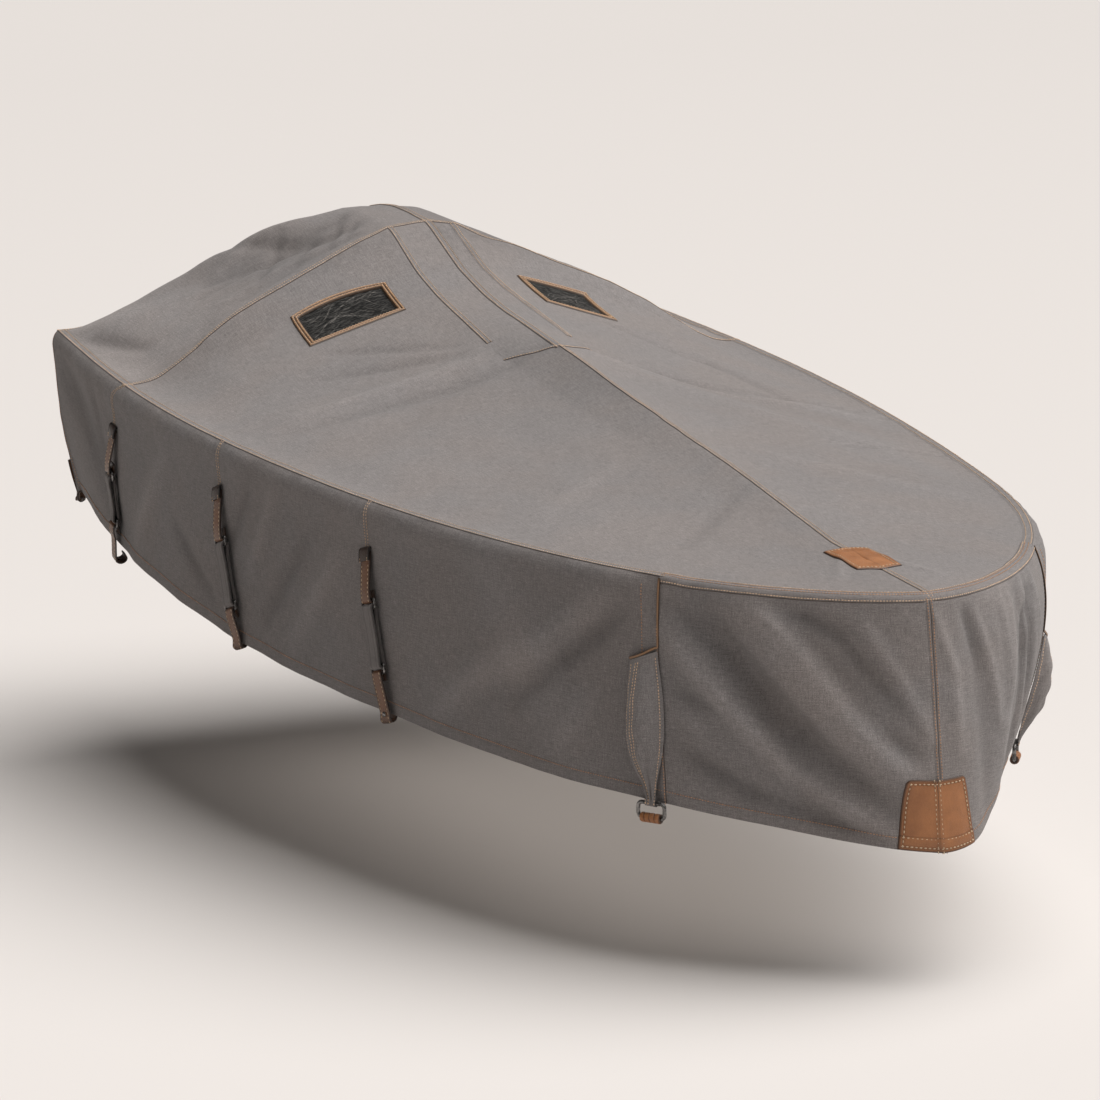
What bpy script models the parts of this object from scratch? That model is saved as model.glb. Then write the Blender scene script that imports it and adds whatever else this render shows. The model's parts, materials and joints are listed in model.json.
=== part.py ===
"""A fitted canvas cover for a small open dinghy, as it hangs on the boat.

Metres, +Z up, +X towards the bow and -Y to starboard. The whole cloth is first laid out as one skin:
a deck grid of stations and fore-and-aft lines, with skirt columns that hang from its edge. The skin
is then cut along its seams into the panels that a sailmaker would sew, and every panel becomes a
closed sheet. Bands, vents, patches, pleat flaps and straps are laid over the skin.
"""

import math

import bmesh
import bpy
import numpy as np
from mathutils import Matrix
from mathutils.bvhtree import BVHTree

# ---- driving sizes -----------------------------------------------------------------------------
LENGTH = 3.068            # bow to stern along the rim
BOW_X = LENGTH / 2        # the bow's rim point
BOW_RIM_Z = 0.528         # its height over the lowest hem
CLOTH = 0.003             # canvas with its seams
SEAM_GAP = 0.0005         # between two panels
LAY_GAP = 0.0006          # between a trim and the cloth under it
TRIM = 0.0025             # leather and band

# ---- tables ------------------------------------------------------------------------------------
# The rim and the skirt, by the station value from the stern (0) to the bow (1): the half beam, the rim's
# rise over its bow, and on each side the skirt's drop, how far it swells out under the rim and how far
# its hem tucks in again.
RIM_COLUMNS = ("station", "half_beam", "rise", "drop_starboard", "swell_starboard", "tuck_starboard",
               "drop_port", "swell_port", "tuck_port")
RIM = (
    (0 / 7, 0.706, 0.118, 0.373, 0.009, -0.058, 0.388, 0.020, -0.050),
    (1 / 7, 0.766, 0.077, 0.382, 0.014, -0.006, 0.390, 0.014, -0.006),
    (2 / 7, 0.748, 0.047, 0.421, 0.014, 0.000, 0.420, 0.014, 0.000),
    (3 / 7, 0.672, 0.026, 0.435, 0.014, 0.002, 0.430, 0.018, -0.010),
    (4 / 7, 0.558, 0.015, 0.452, 0.016, 0.002, 0.436, 0.032, -0.052),
    (5 / 7, 0.384, 0.004, 0.470, 0.022, -0.010, 0.420, 0.044, -0.088),
    (6 / 7, 0.180, 0.001, 0.503, 0.020, -0.010, 0.474, 0.034, -0.044),
    (0.93, 0.085, 0.001, 0.517, 0.016, 0.010, 0.517, 0.020, -0.008),
    (1.00, 0.000, 0.000, 0.528, 0.014, 0.012, 0.528, 0.014, 0.012),
)

# The deck's sections. "aft" is the rim point's distance behind the bow, "lead" is how far the centre
# runs ahead of it, "ridge" is the centre's height over the bow's rim, "stray" how far the centre seam
# wanders to port, "knuckle" the fraction of the half beam at which the side slope starts, "shed" its
# drop from the ridge, "shelf" the fraction of the slope that lies flat at the rim, and the two crowns
# how much the slope swells.
DECK_COLUMNS = ("aft", "lead", "ridge", "stray", "knuckle", "shed", "shelf",
                "crown_starboard", "crown_port")
DECK = (
    (3.068, -0.030, 0.122, 0.000, 0.110, 0.001, 0.02, 0.08, 0.05),
    (3.020, -0.026, 0.256, 0.006, 0.110, 0.002, 0.03, 0.14, 0.10),
    (2.960, -0.024, 0.340, 0.014, 0.110, 0.004, 0.05, 0.16, 0.11),
    (2.880, -0.034, 0.386, 0.022, 0.110, 0.006, 0.08, 0.13, 0.07),
    (2.740, -0.070, 0.398, 0.030, 0.110, 0.006, 0.14, 0.05, 0.04),
    (2.492, -0.139, 0.386, 0.036, 0.110, 0.004, 0.20, 0.05, 0.04),
    (2.400, -0.010, 0.306, 0.030, 0.114, 0.004, 0.20, 0.04, 0.00),
    (2.260, 0.060, 0.264, 0.020, 0.124, 0.006, 0.18, 0.02, 0.00),
    (2.102, 0.316, 0.232, -0.010, 0.137, 0.036, 0.16, 0.00, 0.00),
    (1.400, 0.160, 0.146, 0.000, 0.130, 0.020, 0.14, 0.00, 0.00),
    (0.898, 0.020, 0.097, 0.000, 0.130, 0.013, 0.12, 0.00, 0.00),
    (0.500, -0.100, 0.053, 0.000, 0.130, 0.007, 0.12, 0.00, 0.00),
    (0.200, -0.220, 0.025, 0.000, 0.130, 0.003, 0.12, 0.00, 0.00),
    (0.040, -0.330, 0.021, 0.000, 0.130, 0.0006, 0.12, 0.00, 0.00),
    (0.000, -0.300, 0.015, 0.000, 0.130, 0.0002, 0.12, 0.00, 0.00),
)
CROSS_ROW = 5
SEAM_ROW = 8


def natural_spline(xs, ys):
    """A smooth curve through a few points, as a function of x."""
    xs = np.asarray(xs, float)
    ys = np.asarray(ys, float)
    count = len(xs)
    step = np.diff(xs)
    system = np.eye(count)
    right = np.zeros(count)
    for i in range(1, count - 1):
        system[i, i - 1:i + 2] = step[i - 1], 2 * (step[i - 1] + step[i]), step[i]
        right[i] = 6 * ((ys[i + 1] - ys[i]) / step[i] - (ys[i] - ys[i - 1]) / step[i - 1])
    bend = np.linalg.solve(system, right)

    def value(x):
        i = int(np.clip(np.searchsorted(xs, x) - 1, 0, count - 2))
        h = step[i]
        left = (xs[i + 1] - x) / h
        rest = (x - xs[i]) / h
        cubic = ((left ** 3 - left) * bend[i] + (rest ** 3 - rest) * bend[i + 1]) * h * h / 6
        return float(left * ys[i] + rest * ys[i + 1] + cubic)

    return value


def steady_curve(xs, ys):
    """A curve through the points that never swings past them."""
    xs = np.asarray(xs, float)
    ys = np.asarray(ys, float)
    slope = np.diff(ys) / np.diff(xs)
    tangent = np.zeros(len(xs))
    tangent[0] = slope[0]
    tangent[-1] = slope[-1]
    for i in range(1, len(xs) - 1):
        if slope[i - 1] * slope[i] > 0:
            tangent[i] = 2 * slope[i - 1] * slope[i] / (slope[i - 1] + slope[i])

    def value(x):
        x = float(np.clip(x, xs[0], xs[-1]))
        i = int(np.clip(np.searchsorted(xs, x) - 1, 0, len(xs) - 2))
        h = xs[i + 1] - xs[i]
        t = (x - xs[i]) / h
        start = (1 + 2 * t) * (1 - t) ** 2 * ys[i] + t * (1 - t) ** 2 * h * tangent[i]
        end = t * t * (3 - 2 * t) * ys[i + 1] + t * t * (t - 1) * h * tangent[i + 1]
        return float(start + end)

    return value


def station_of(aft):
    """The station value whose rim point lies this far behind the bow."""
    return math.asin(1 - aft / LENGTH) * 2 / math.pi


def aft_of(station):
    return LENGTH * (1 - math.sin(station * math.pi / 2))


RIM_CURVES = {name: natural_spline([row[0] for row in RIM], [row[i] for row in RIM])
              for i, name in enumerate(RIM_COLUMNS)}
DECK_STATIONS = [station_of(row[0]) for row in DECK]
DECK_CURVES = {name: steady_curve(DECK_STATIONS, [row[i] for row in DECK])
               for i, name in enumerate(DECK_COLUMNS)}

# ---- the skin's grid ---------------------------------------------------------------------------
Q_KNUCKLE = 0.125         # the fore-and-aft line of the gusset seams
LINES = (0.0, 0.0625, Q_KNUCKLE, 0.20, 0.29, 0.39, 0.50, 0.61, 0.72, 0.82, 0.91, 1.0)

CROSS_SEAM = station_of(DECK[CROSS_ROW][0])
DECK_SEAM = station_of(DECK[SEAM_ROW][0])
PLEAT = 0.686             # the pleat's bound edge
BOW_STEP = 0.0225


def even(start, end, step):
    """Even stations from start up to, and without, the end."""
    count = max(1, round((end - start) / step))
    return [start + (end - start) * i / count for i in range(count)]


STATIONS = ([0.0, 0.014] + even(0.030, CROSS_SEAM, 0.018) + even(CROSS_SEAM, DECK_SEAM, 0.014)
            + even(DECK_SEAM, PLEAT, BOW_STEP) + even(PLEAT, 1.0, BOW_STEP) + [1.0])
ROWS = (0.0, 0.035, 0.10, 0.21, 0.35, 0.50, 0.65, 0.80, 0.93, 1.0)

LAST = len(STATIONS) - 1
EDGE = len(LINES) - 1
HEM = len(ROWS) - 1
AT_CROSS = STATIONS.index(CROSS_SEAM)
AT_DECK_SEAM = STATIONS.index(DECK_SEAM)
AT_PLEAT = STATIONS.index(PLEAT)
J_KNUCKLE = LINES.index(Q_KNUCKLE)

BOW_SEAM_LEAN = 0.028     # how far the bow's seam is drawn to port at the hem
LEAN_REACH = 0.35         # along the rim
PLEAT_LEAN = 0.026        # how far the pleats' lines run to the bow at the hem
PLEAT_REACH = 0.22
SHOULDER = 5              # how quickly the skirt rounds over from the rim
STRAY_FADE = 12           # how quickly the centre seam's wandering dies out to the sides

# Folds of the skirt: from one end to the other, by distance along the rim from the bow (starboard
# negative) and depth under the rim, with the fold's half width and its height, negative for a trough.
SKIRT_FOLD_COLUMNS = ("along_1", "depth_1", "along_2", "depth_2", "half_width", "height")
SKIRT_FOLDS = (
    (-0.48, 0.03, -0.22, 0.40, 0.045, -0.014),
    (-0.42, 0.02, -0.10, 0.36, 0.050, 0.012),
    (-0.28, 0.06, -0.08, 0.30, 0.045, -0.008),
    (0.10, 0.05, 0.14, 0.46, 0.030, -0.008),
    (0.20, 0.03, 0.22, 0.44, 0.032, 0.010),
    (0.30, 0.03, 0.30, 0.42, 0.030, -0.010),
    (0.40, 0.05, 0.38, 0.36, 0.035, 0.010),
    (-3.30, 0.02, -2.75, 0.34, 0.060, -0.012),
    (-1.05, 0.05, -0.80, 0.42, 0.070, 0.007),
    (1.20, 0.05, 1.00, 0.40, 0.080, 0.008),
    (2.30, 0.05, 2.50, 0.38, 0.080, 0.008),
)

# Folds of the deck: from one end to the other in plan, by distance behind the bow and across.
DECK_FOLD_COLUMNS = ("aft_1", "across_1", "aft_2", "across_2", "half_width", "height")
DECK_FOLDS = (
    (1.85, 0.08, 1.25, 0.52, 0.050, 0.008),
    (1.88, 0.16, 1.45, 0.62, 0.050, -0.008),
    (1.90, -0.10, 1.62, -0.58, 0.060, -0.006),
    (2.95, -0.62, 2.72, -0.20, 0.060, -0.014),
    (2.96, -0.36, 2.80, -0.10, 0.050, 0.010),
    (2.95, 0.62, 2.74, 0.22, 0.060, -0.012),
)


def fold_height(folds, u, v):
    """The sum of the folds at a place, each a soft ridge or trough that fades at both ends."""
    total = 0.0
    for u1, v1, u2, v2, half_width, height in folds:
        du = u2 - u1
        dv = v2 - v1
        length = math.hypot(du, dv)
        t = ((u - u1) * du + (v - v1) * dv) / length ** 2
        off = ((u - u1) * dv - (v - v1) * du) / length
        past = max(0.0, -t, t - 1) * length
        reach = math.exp(-(off / half_width) ** 2 - (past / half_width) ** 2)
        fade = 0.55 + 0.45 * math.sin(math.pi * min(max(t, 0), 1))
        total += height * reach * fade
    return total


def across_of(station, q):
    """A fore-and-aft line's fraction of the half beam."""
    knuckle = DECK_CURVES["knuckle"](station)
    if q < Q_KNUCKLE:
        return q / Q_KNUCKLE * knuckle
    return knuckle + (q - Q_KNUCKLE) / (1 - Q_KNUCKLE) * (1 - knuckle)


def deck_point(station, q, side):
    """The deck's cloth at a station and a fore-and-aft line: q is 0 at the centre, 1 at the rim."""
    deck = {name: curve(station) for name, curve in DECK_CURVES.items()}
    rim_rise = RIM_CURVES["rise"](station)
    half_beam = max(0.0, RIM_CURVES["half_beam"](station))
    across = across_of(station, q)
    x = BOW_X - aft_of(station) + deck["lead"] * (1 - across) ** (2 - station ** 3)
    y = side * half_beam * across + deck["stray"] * (1 - across) ** STRAY_FADE
    top = deck["ridge"] - deck["shed"]
    crown = deck["crown_starboard"] if side < 0 else deck["crown_port"]
    if across <= deck["knuckle"]:
        rise = deck["ridge"] - deck["shed"] * across / deck["knuckle"]
    else:
        s = (1 - across) / (1 - deck["knuckle"])
        shelf = 1 - math.exp(-(s / deck["shelf"]) ** 2)
        rise = rim_rise + (top - rim_rise) * (s + crown * 4 * s * (1 - s)) * shelf
    held = min(1.0, 4 * (1 - across))
    rise += held * fold_height(DECK_FOLDS, BOW_X - x, y)
    return np.array([x, y, BOW_RIM_Z + rise])


def facing_of(points, face):
    """The unit normal of a face of three or four points."""
    a, b, c, d = (points[i] for i in (face if len(face) == 4 else (*face, face[0])))
    facing = np.cross(c - a, d - b)
    return facing / np.linalg.norm(facing)


class Skin:
    """The whole cloth as one grid of points, with the faces of each panel."""

    def __init__(self):
        self.points = []
        self.index = {}
        self.panels = {}
        self.lay_deck()
        self.lay_skirt()
        self.cut_deck()
        self.cut_skirt()
        self.points = np.array(self.points)
        self.find_normals()

    def add(self, key, point):
        self.index[key] = len(self.points)
        self.points.append(point)

    @staticmethod
    def deck_key(i, j, side):
        return ("deck", i, j, 0 if j == 0 or i == LAST else side)

    def lay_deck(self):
        for i, station in enumerate(STATIONS):
            for j, q in enumerate(LINES):
                for side in (-1, 1):
                    key = self.deck_key(i, j, side)
                    if key not in self.index:
                        self.add(key, deck_point(station, q, side))

    def lay_skirt(self):
        """Columns run from the starboard stern corner round the bow, then along the transom."""
        rim = [self.deck_key(i, EDGE, -1) for i in range(LAST)]
        rim += [self.deck_key(i, EDGE, 1) for i in range(LAST, -1, -1)]
        self.side_columns = len(rim)
        rim += [self.deck_key(0, j, 1) for j in range(EDGE - 1, 0, -1)]
        rim += [self.deck_key(0, j, -1) for j in range(EDGE)]
        self.rim = rim
        places = np.array([self.points[self.index[key]] for key in rim])
        steps = np.linalg.norm(np.diff(places, axis=0, append=places[:1]), axis=1)
        along = np.concatenate([[0], np.cumsum(steps)[:-1]])
        self.along = along - along[LAST]
        self.pleat_along = abs(self.along[AT_PLEAT])
        self.girth = float(steps.sum())
        before = np.roll(places, 1, axis=0)
        after = np.roll(places, -1, axis=0)
        run = (after - before)[:, :2]
        self.outward = np.stack([run[:, 1], -run[:, 0]], 1)
        self.outward /= np.linalg.norm(self.outward, axis=1)[:, None]
        self.drops = []
        for column, key in enumerate(rim):
            station = STATIONS[key[1]]
            port = key[3] > 0 or (key[3] == 0 and column > LAST)
            name = "port" if port else "starboard"
            drop, swell, tuck = (RIM_CURVES[f"{what}_{name}"](station)
                                 for what in ("drop", "swell", "tuck"))
            self.drops.append(drop)
            for row, v in enumerate(ROWS):
                if row == 0:
                    self.index["skirt", column, 0] = self.index[key]
                    continue
                out = swell * (1 - (1 - v) ** SHOULDER) + tuck * v * v
                held = min(1.0, 8 * v)
                out += held * fold_height(SKIRT_FOLDS, self.along[column], v * drop)
                point = places[column].copy()
                point[:2] += self.outward[column] * out
                point[1] += BOW_SEAM_LEAN * v * math.exp(-(self.along[column] / LEAN_REACH) ** 2)
                for side in (-1, 1):
                    away = (self.along[column] - side * self.pleat_along) / PLEAT_REACH
                    lean = side * PLEAT_LEAN * v * math.exp(-away ** 2)
                    point[:2] += lean * np.array([self.outward[column][1], -self.outward[column][0]])
                point[2] -= drop * v
                self.add(("skirt", column, row), point)

    def add_face(self, panel, keys, flip):
        corners = [self.index[key] for key in keys]
        if flip:
            corners.reverse()
        self.panels.setdefault(panel, []).append(corners)

    @staticmethod
    def deck_panel(i, j, side):
        name = "starboard" if side < 0 else "port"
        if i < AT_CROSS:
            return "stern_panel_" + name
        if i < AT_DECK_SEAM and j < J_KNUCKLE:
            return "hood_gusset_" + name
        return "deck_panel_" + name

    def cut_deck(self):
        for i in range(LAST):
            for j in range(EDGE):
                for side in (-1, 1):
                    near, ahead, across, beside = (
                        self.deck_key(i, j, side), self.deck_key(i + 1, j, side),
                        self.deck_key(i + 1, j + 1, side), self.deck_key(i, j + 1, side))
                    panel = self.deck_panel(i, j, side)
                    if i + 1 == LAST and j == 0:
                        self.add_face(panel, [near, ahead, beside], side < 0)
                        self.add_face(panel, [ahead, across, beside], side < 0)
                    else:
                        self.add_face(panel, [near, ahead, across, beside], side < 0)

    def cut_skirt(self):
        columns = len(self.rim)
        last_side = self.side_columns - 1
        for column in range(columns):
            if column < AT_PLEAT:
                panel = "side_panel_starboard"
            elif column < LAST:
                panel = "bow_panel_starboard"
            elif column < last_side - AT_PLEAT:
                panel = "bow_panel_port"
            elif column < last_side:
                panel = "side_panel_port"
            else:
                panel = "transom_panel"
            beside = (column + 1) % columns
            for row in range(HEM):
                keys = [("skirt", column, row), ("skirt", beside, row),
                        ("skirt", beside, row + 1), ("skirt", column, row + 1)]
                self.add_face(panel, keys, True)

    def find_normals(self):
        """Each point's outward normal, and how far a sheet's offset is stretched by the bend there."""
        facings = []
        normals = np.zeros_like(self.points)
        for faces in self.panels.values():
            for face in faces:
                facing = facing_of(self.points, face)
                facings.append((face, facing))
                for corner in face:
                    normals[corner] += facing
        self.normals = normals / np.linalg.norm(normals, axis=1)[:, None]
        leaning = np.zeros(len(self.points))
        count = np.zeros(len(self.points))
        for corners, facing in facings:
            for corner in corners:
                leaning[corner] += self.normals[corner] @ facing
                count[corner] += 1
        self.stretch = count / leaning

    def lifted(self, key, height):
        """A grid point raised along its normal, so that a sheet stays parallel round a bend."""
        i = self.index[key]
        return self.points[i] + self.normals[i] * height * self.stretch[i]

    def on_skirt(self, along, depth, out):
        """A place on the skirt, raised outwards; below the hem it carries on straight down."""
        columns = len(self.rim)
        places = np.append(self.along, self.along[0] + self.girth)
        while along < places[0]:
            along += self.girth
        while along >= places[-1]:
            along -= self.girth
        left = int(np.clip(np.searchsorted(places, along, side="right") - 1, 0, columns - 1))
        right = (left + 1) % columns
        t = (along - places[left]) / (places[left + 1] - places[left])
        drop = (1 - t) * self.drops[left] + t * self.drops[right]
        v = min(depth / drop, 1.0)
        low = int(np.clip(np.searchsorted(ROWS, v, side="right") - 1, 0, HEM - 1))
        s = (v - ROWS[low]) / (ROWS[low + 1] - ROWS[low])
        point = np.zeros(3)
        normal = np.zeros(3)
        for column, row, share in ((left, low, (1 - t) * (1 - s)), (right, low, t * (1 - s)),
                                   (left, low + 1, (1 - t) * s), (right, low + 1, t * s)):
            i = self.index["skirt", column, row]
            point += self.points[i] * share
            normal += self.normals[i] * share
        if depth > drop:
            point[2] -= depth - drop
        normal[2] *= min(1.0, depth / SHOULDER_DEPTH) * 0.3
        normal /= np.linalg.norm(normal)
        return point + normal * out

    def along_of(self, station):
        """The starboard rim's distance from the bow at a station, negative."""
        return float(np.interp(station, STATIONS, self.along[:LAST + 1]))

    def drop_at(self, along):
        return float(np.interp(along, self.along[:self.side_columns], self.drops[:self.side_columns]))


# ---- building ----------------------------------------------------------------------------------
MATERIALS = {
    # name: colour, roughness, metallic
    "canvas": ((0.115, 0.108, 0.102), 0.92, 0.0),
    "vent_mesh": ((0.018, 0.017, 0.017), 0.70, 0.0),
    "binding": ((0.330, 0.165, 0.070), 0.65, 0.0),
    "leather": ((0.260, 0.100, 0.036), 0.50, 0.0),
    "webbing": ((0.085, 0.078, 0.072), 0.85, 0.0),
    "steel": ((0.300, 0.290, 0.280), 0.30, 1.0),
}

# vents, by side: the corners in plan (distances behind the bow and across from the centre, upper edge
# first), how far the upper edge bows up, and the width and height on the slope
VENTS = {
    -1: (((2.430, 0.386), (2.4225, 0.155), (2.2755, 0.167), (2.2706, 0.403)), 0.018, 0.240, 0.156),
    1: (((2.433, 0.345), (2.425, 0.168), (2.270, 0.173), (2.250, 0.342)), 0.004, 0.185, 0.172),
}
VENT_FRAME = 0.012        # the bound frame's width
VENT_LAP = 0.005          # how far the frame laps over the cloth
VENT_LAY = 0.0012         # the frame over the cloth
VENT_FRAME_THICK = 0.0035
VENT_SUNK = 0.0004        # the mesh under the cloth's face
PATCH_LAY = 0.0010        # the bow's patch and band over the cloth
FORE_PATCH_LAY = 0.0018   # the foredeck's patch over the cloth
BAND = 0.0018             # the bow band's thickness

FORE_PATCH = (0.376, 0.220)   # behind the bow, along the ridge
FORE_PATCH_POINT = 0.012      # how far its ends reach out along the ridge
FORE_PATCH_HALF = 0.051

BOW_PATCH_TOP = 0.378     # depth under the rim
BOW_PATCH_HALVES = (0.050, 0.062, 0.068, 0.075, 0.081, 0.086)
BOW_PATCH_STEPS = (0.0, 0.05, 0.20, 0.48, 0.76, 1.0)
BOW_PATCH_SHIFT = -0.004  # along the rim

WIRE = 0.0028             # the steel loops' wire radius
WRAP_GAP = 0.0008         # between a wire and the strap round it
LOOP_OUT = 0.0130         # the loops' centre over the skirt
STRAP_WIDTH = 0.030
WEB_WIDTH = 0.034
LOOP_WIDTH = 0.043        # between the loops' side wires
LOOP_HEIGHT = 0.018       # between their cross wires
SHOULDER_DEPTH = 0.06

# straps: their stations, how far they lean to the bow over their length, and how far the tail hangs down
STRAP_COLUMNS = ("name", "station", "lean", "tail")
STRAPS = (("aft", 0.1108, -0.10, 0.040), ("mid", 0.2493, 0.37, 0.021), ("fore", 0.4061, 0.29, 0.021))
TAB_DEPTH = 0.112
UPPER_LOOP = 0.203        # depth of the upper loop's top wire
LOWER_LOOP = 0.335
LOWER_LOOP_OVER_HEM = 0.062   # at least
TURN = (90, 45, 0, -45, -90)  # a strap's way round a wire, in degrees
STUD_RADIUS = 0.0055
STUD_FOOT = 0.0136
STUD_HEIGHT = 0.003
CORNER_STRAP_IN = 0.008

# pleat flaps: from their top to the hem, half width, how far the middle and edges stand out, and how far
# the flap is drawn to the bow
FLAP_COLUMNS = ("down", "half_width", "middle_out", "bow_edge_out", "aft_edge_out", "shift")
FLAP = (
    (0.00, 0.033, 0.010, 0.0035, 0.0040, 0.000),
    (0.11, 0.037, 0.020, 0.0035, 0.0045, 0.000),
    (0.28, 0.042, 0.033, 0.0035, 0.0060, 0.000),
    (0.47, 0.044, 0.039, 0.0045, 0.0080, -0.002),
    (0.63, 0.040, 0.037, 0.0070, 0.0120, -0.003),
    (0.77, 0.029, 0.028, 0.0110, 0.0150, -0.001),
    (0.88, 0.017, 0.019, 0.0145, 0.0150, 0.004),
    (0.96, 0.012, 0.0165, 0.0155, 0.0155, 0.006),
)
FLAP_TOPS = {"starboard": 0.355, "port": 0.480}   # the flap's top as a fraction of the drop
FLAP_SLOPE = 0.014        # how much lower the top's outer end is than its middle
FLAP_ACROSS = (-1.0, -0.78, -0.35, 0.0, 0.35, 0.78, 1.0)
FLAP_IN = 0.034           # from the bound edge to the flap's middle
FLAP_LOOP_WIDTH = 0.064
FLAP_LOOP_HEIGHT = 0.031
FLAP_LOOP_OUT = 0.0115
FLAP_LOOP_UNDER_HEM = 0.001
BINDING_WIDTH = 0.007
BINDING_START = 0.021     # under the rim, clear of the bow's band
FLAP_WIRE = 0.0036
FLAP_SLEEVE = 0.0105      # the leather roll's outer radius
SLEEVE_HALF = 0.0245


def clear_scene():
    for thing in list(bpy.data.objects):
        bpy.data.objects.remove(thing, do_unlink=True)


def make_materials():
    made = {}
    for name, (colour, roughness, metallic) in MATERIALS.items():
        entry = bpy.data.materials.new(name)
        entry.use_nodes = True
        shader = entry.node_tree.nodes["Principled BSDF"]
        shader.inputs["Base Color"].default_value = (*colour, 1.0)
        shader.inputs["Roughness"].default_value = roughness
        shader.inputs["Metallic"].default_value = metallic
        entry.diffuse_color = (*colour, 1.0)
        made[name] = entry
    return made


def add_object(name, points, faces, material):
    """A closed mesh, facing out, shaded smooth with its sharp edges kept."""
    mesh = bpy.data.meshes.new(name)
    mesh.from_pydata([tuple(point) for point in points], [], [tuple(face) for face in faces])
    work = bmesh.new()
    work.from_mesh(mesh)
    bmesh.ops.recalc_face_normals(work, faces=work.faces)
    work.to_mesh(mesh)
    work.free()
    mesh.shade_smooth()
    mesh.set_sharp_from_angle(angle=math.radians(40))
    mesh.materials.append(material)
    thing = bpy.data.objects.new(name, mesh)
    bpy.context.scene.collection.objects.link(thing)
    return thing


def sides_of(face):
    return list(zip(face, [*face[1:], face[0]]))


def edge_shifts(points, faces, distance):
    """How far each edge point of a panel moves in, so that it parts from the next panel."""
    inward = {}
    owned = {side for face in faces for side in sides_of(face)}
    for face in faces:
        facing = facing_of(points, face)
        for start, end in sides_of(face):
            if (end, start) in owned:
                continue
            step = np.cross(facing, points[end] - points[start])
            step /= np.linalg.norm(step)
            inward.setdefault(start, []).append(step)
            inward.setdefault(end, []).append(step)
    return {i: distance * sum(steps) / max(0.35, np.linalg.norm(sum(steps)) ** 2 / len(steps))
            for i, steps in inward.items()}


def add_panel(skin, name, material):
    """One panel of the skin as a sheet of canvas, a seam's gap away from its neighbours."""
    panel = skin.panels[name]
    shifts = edge_shifts(skin.points, panel, SEAM_GAP / 2)
    used = sorted({i for face in panel for i in face})
    place = {i: n for n, i in enumerate(used)}
    count = len(used)
    outer = [skin.points[i] + shifts.get(i, 0.0) for i in used]
    inner = [outer[n] - skin.normals[i] * CLOTH * skin.stretch[i] for n, i in enumerate(used)]
    faces = [[place[i] for i in face] for face in panel]
    faces += [[place[i] + count for i in reversed(face)] for face in panel]
    owned = {side for face in panel for side in sides_of(face)}
    for start, end in sorted(owned):
        if (end, start) not in owned:
            faces.append([place[end], place[start], place[start] + count, place[end] + count])
    return add_object(name, outer + inner, faces, material)


def add_sheet(name, grid, thickness, material, closed=False, sides=None):
    """A sheet on a grid of points: half its thickness to each side, or from one height to another."""
    grid = np.asarray(grid, float)
    rows, columns = grid.shape[:2]
    if sides is None:
        down = np.gradient(grid, axis=0)
        if closed:
            down = np.roll(grid, -1, axis=0) - np.roll(grid, 1, axis=0)
        facing = np.cross(down, np.gradient(grid, axis=1))
        facing /= np.linalg.norm(facing, axis=2)[:, :, None]
        front = grid + facing * thickness / 2
        back = grid - facing * thickness / 2
    else:
        front, back = grid, np.asarray(sides, float)
    points = list(front.reshape(-1, 3)) + list(back.reshape(-1, 3))
    count = rows * columns

    def at(row, column, layer):
        return (row % rows) * columns + column + layer * count

    faces = []
    last = rows if closed else rows - 1
    for row in range(last):
        for column in range(columns - 1):
            for layer in (0, 1):
                faces.append([at(row, column, layer), at(row + 1, column, layer),
                              at(row + 1, column + 1, layer), at(row, column + 1, layer)])
        for column in (0, columns - 1):
            faces.append([at(row, column, 0), at(row + 1, column, 0),
                          at(row + 1, column, 1), at(row, column, 1)])
    if not closed:
        for row in (0, rows - 1):
            for column in range(columns - 1):
                faces.append([at(row, column, 0), at(row, column + 1, 0),
                              at(row, column + 1, 1), at(row, column, 1)])
    return add_object(name, points, faces, material)


def add_wire_loop(name, centre, along, down, width, height, radius, material):
    """A rounded rectangle of wire: width and height are between its wires' centres."""
    corner = min(width, height) * 0.17
    corners = ((1, 1), (-1, 1), (-1, -1), (1, -1))
    path = []
    for quarter, (sign_x, sign_y) in enumerate(corners):
        for step in range(3):
            angle = math.pi / 2 * (quarter + step / 2)
            x = sign_x * (width / 2 - corner) + corner * math.cos(angle)
            y = sign_y * (height / 2 - corner) + corner * math.sin(angle)
            path.append((x, y, angle))
    out = np.cross(along, down)
    out /= np.linalg.norm(out)
    sides = 6
    points = []
    for x, y, angle in path:
        away = math.cos(angle) * along + math.sin(angle) * down
        middle = centre + x * along + y * down
        for k in range(sides):
            turn = 2 * math.pi * k / sides
            points.append(middle + radius * (math.cos(turn) * away + math.sin(turn) * out))
    faces = []
    for n in range(len(path)):
        beside = (n + 1) % len(path)
        for k in range(sides):
            after = (k + 1) % sides
            faces.append([n * sides + k, n * sides + after, beside * sides + after, beside * sides + k])
    return add_object(name, points, faces, material)


def add_sleeve(name, centre, axis, half_length, inner, outer, material):
    """A roll of leather round a wire."""
    axis = axis / np.linalg.norm(axis)
    side = np.cross(axis, (0.0, 0.0, 1.0))
    side /= np.linalg.norm(side)
    up = np.cross(side, axis)
    sides = 10
    grid = []
    for k in range(sides):
        turn = 2 * math.pi * k / sides
        away = math.cos(turn) * side + math.sin(turn) * up
        grid.append([(centre - axis * half_length + away * outer,
                      centre + axis * half_length + away * outer),
                     (centre - axis * half_length + away * inner,
                      centre + axis * half_length + away * inner)])
    front = [row[0] for row in grid]
    back = [row[1] for row in grid]
    return add_sheet(name, front, 0.0, material, closed=True, sides=back)


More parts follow.
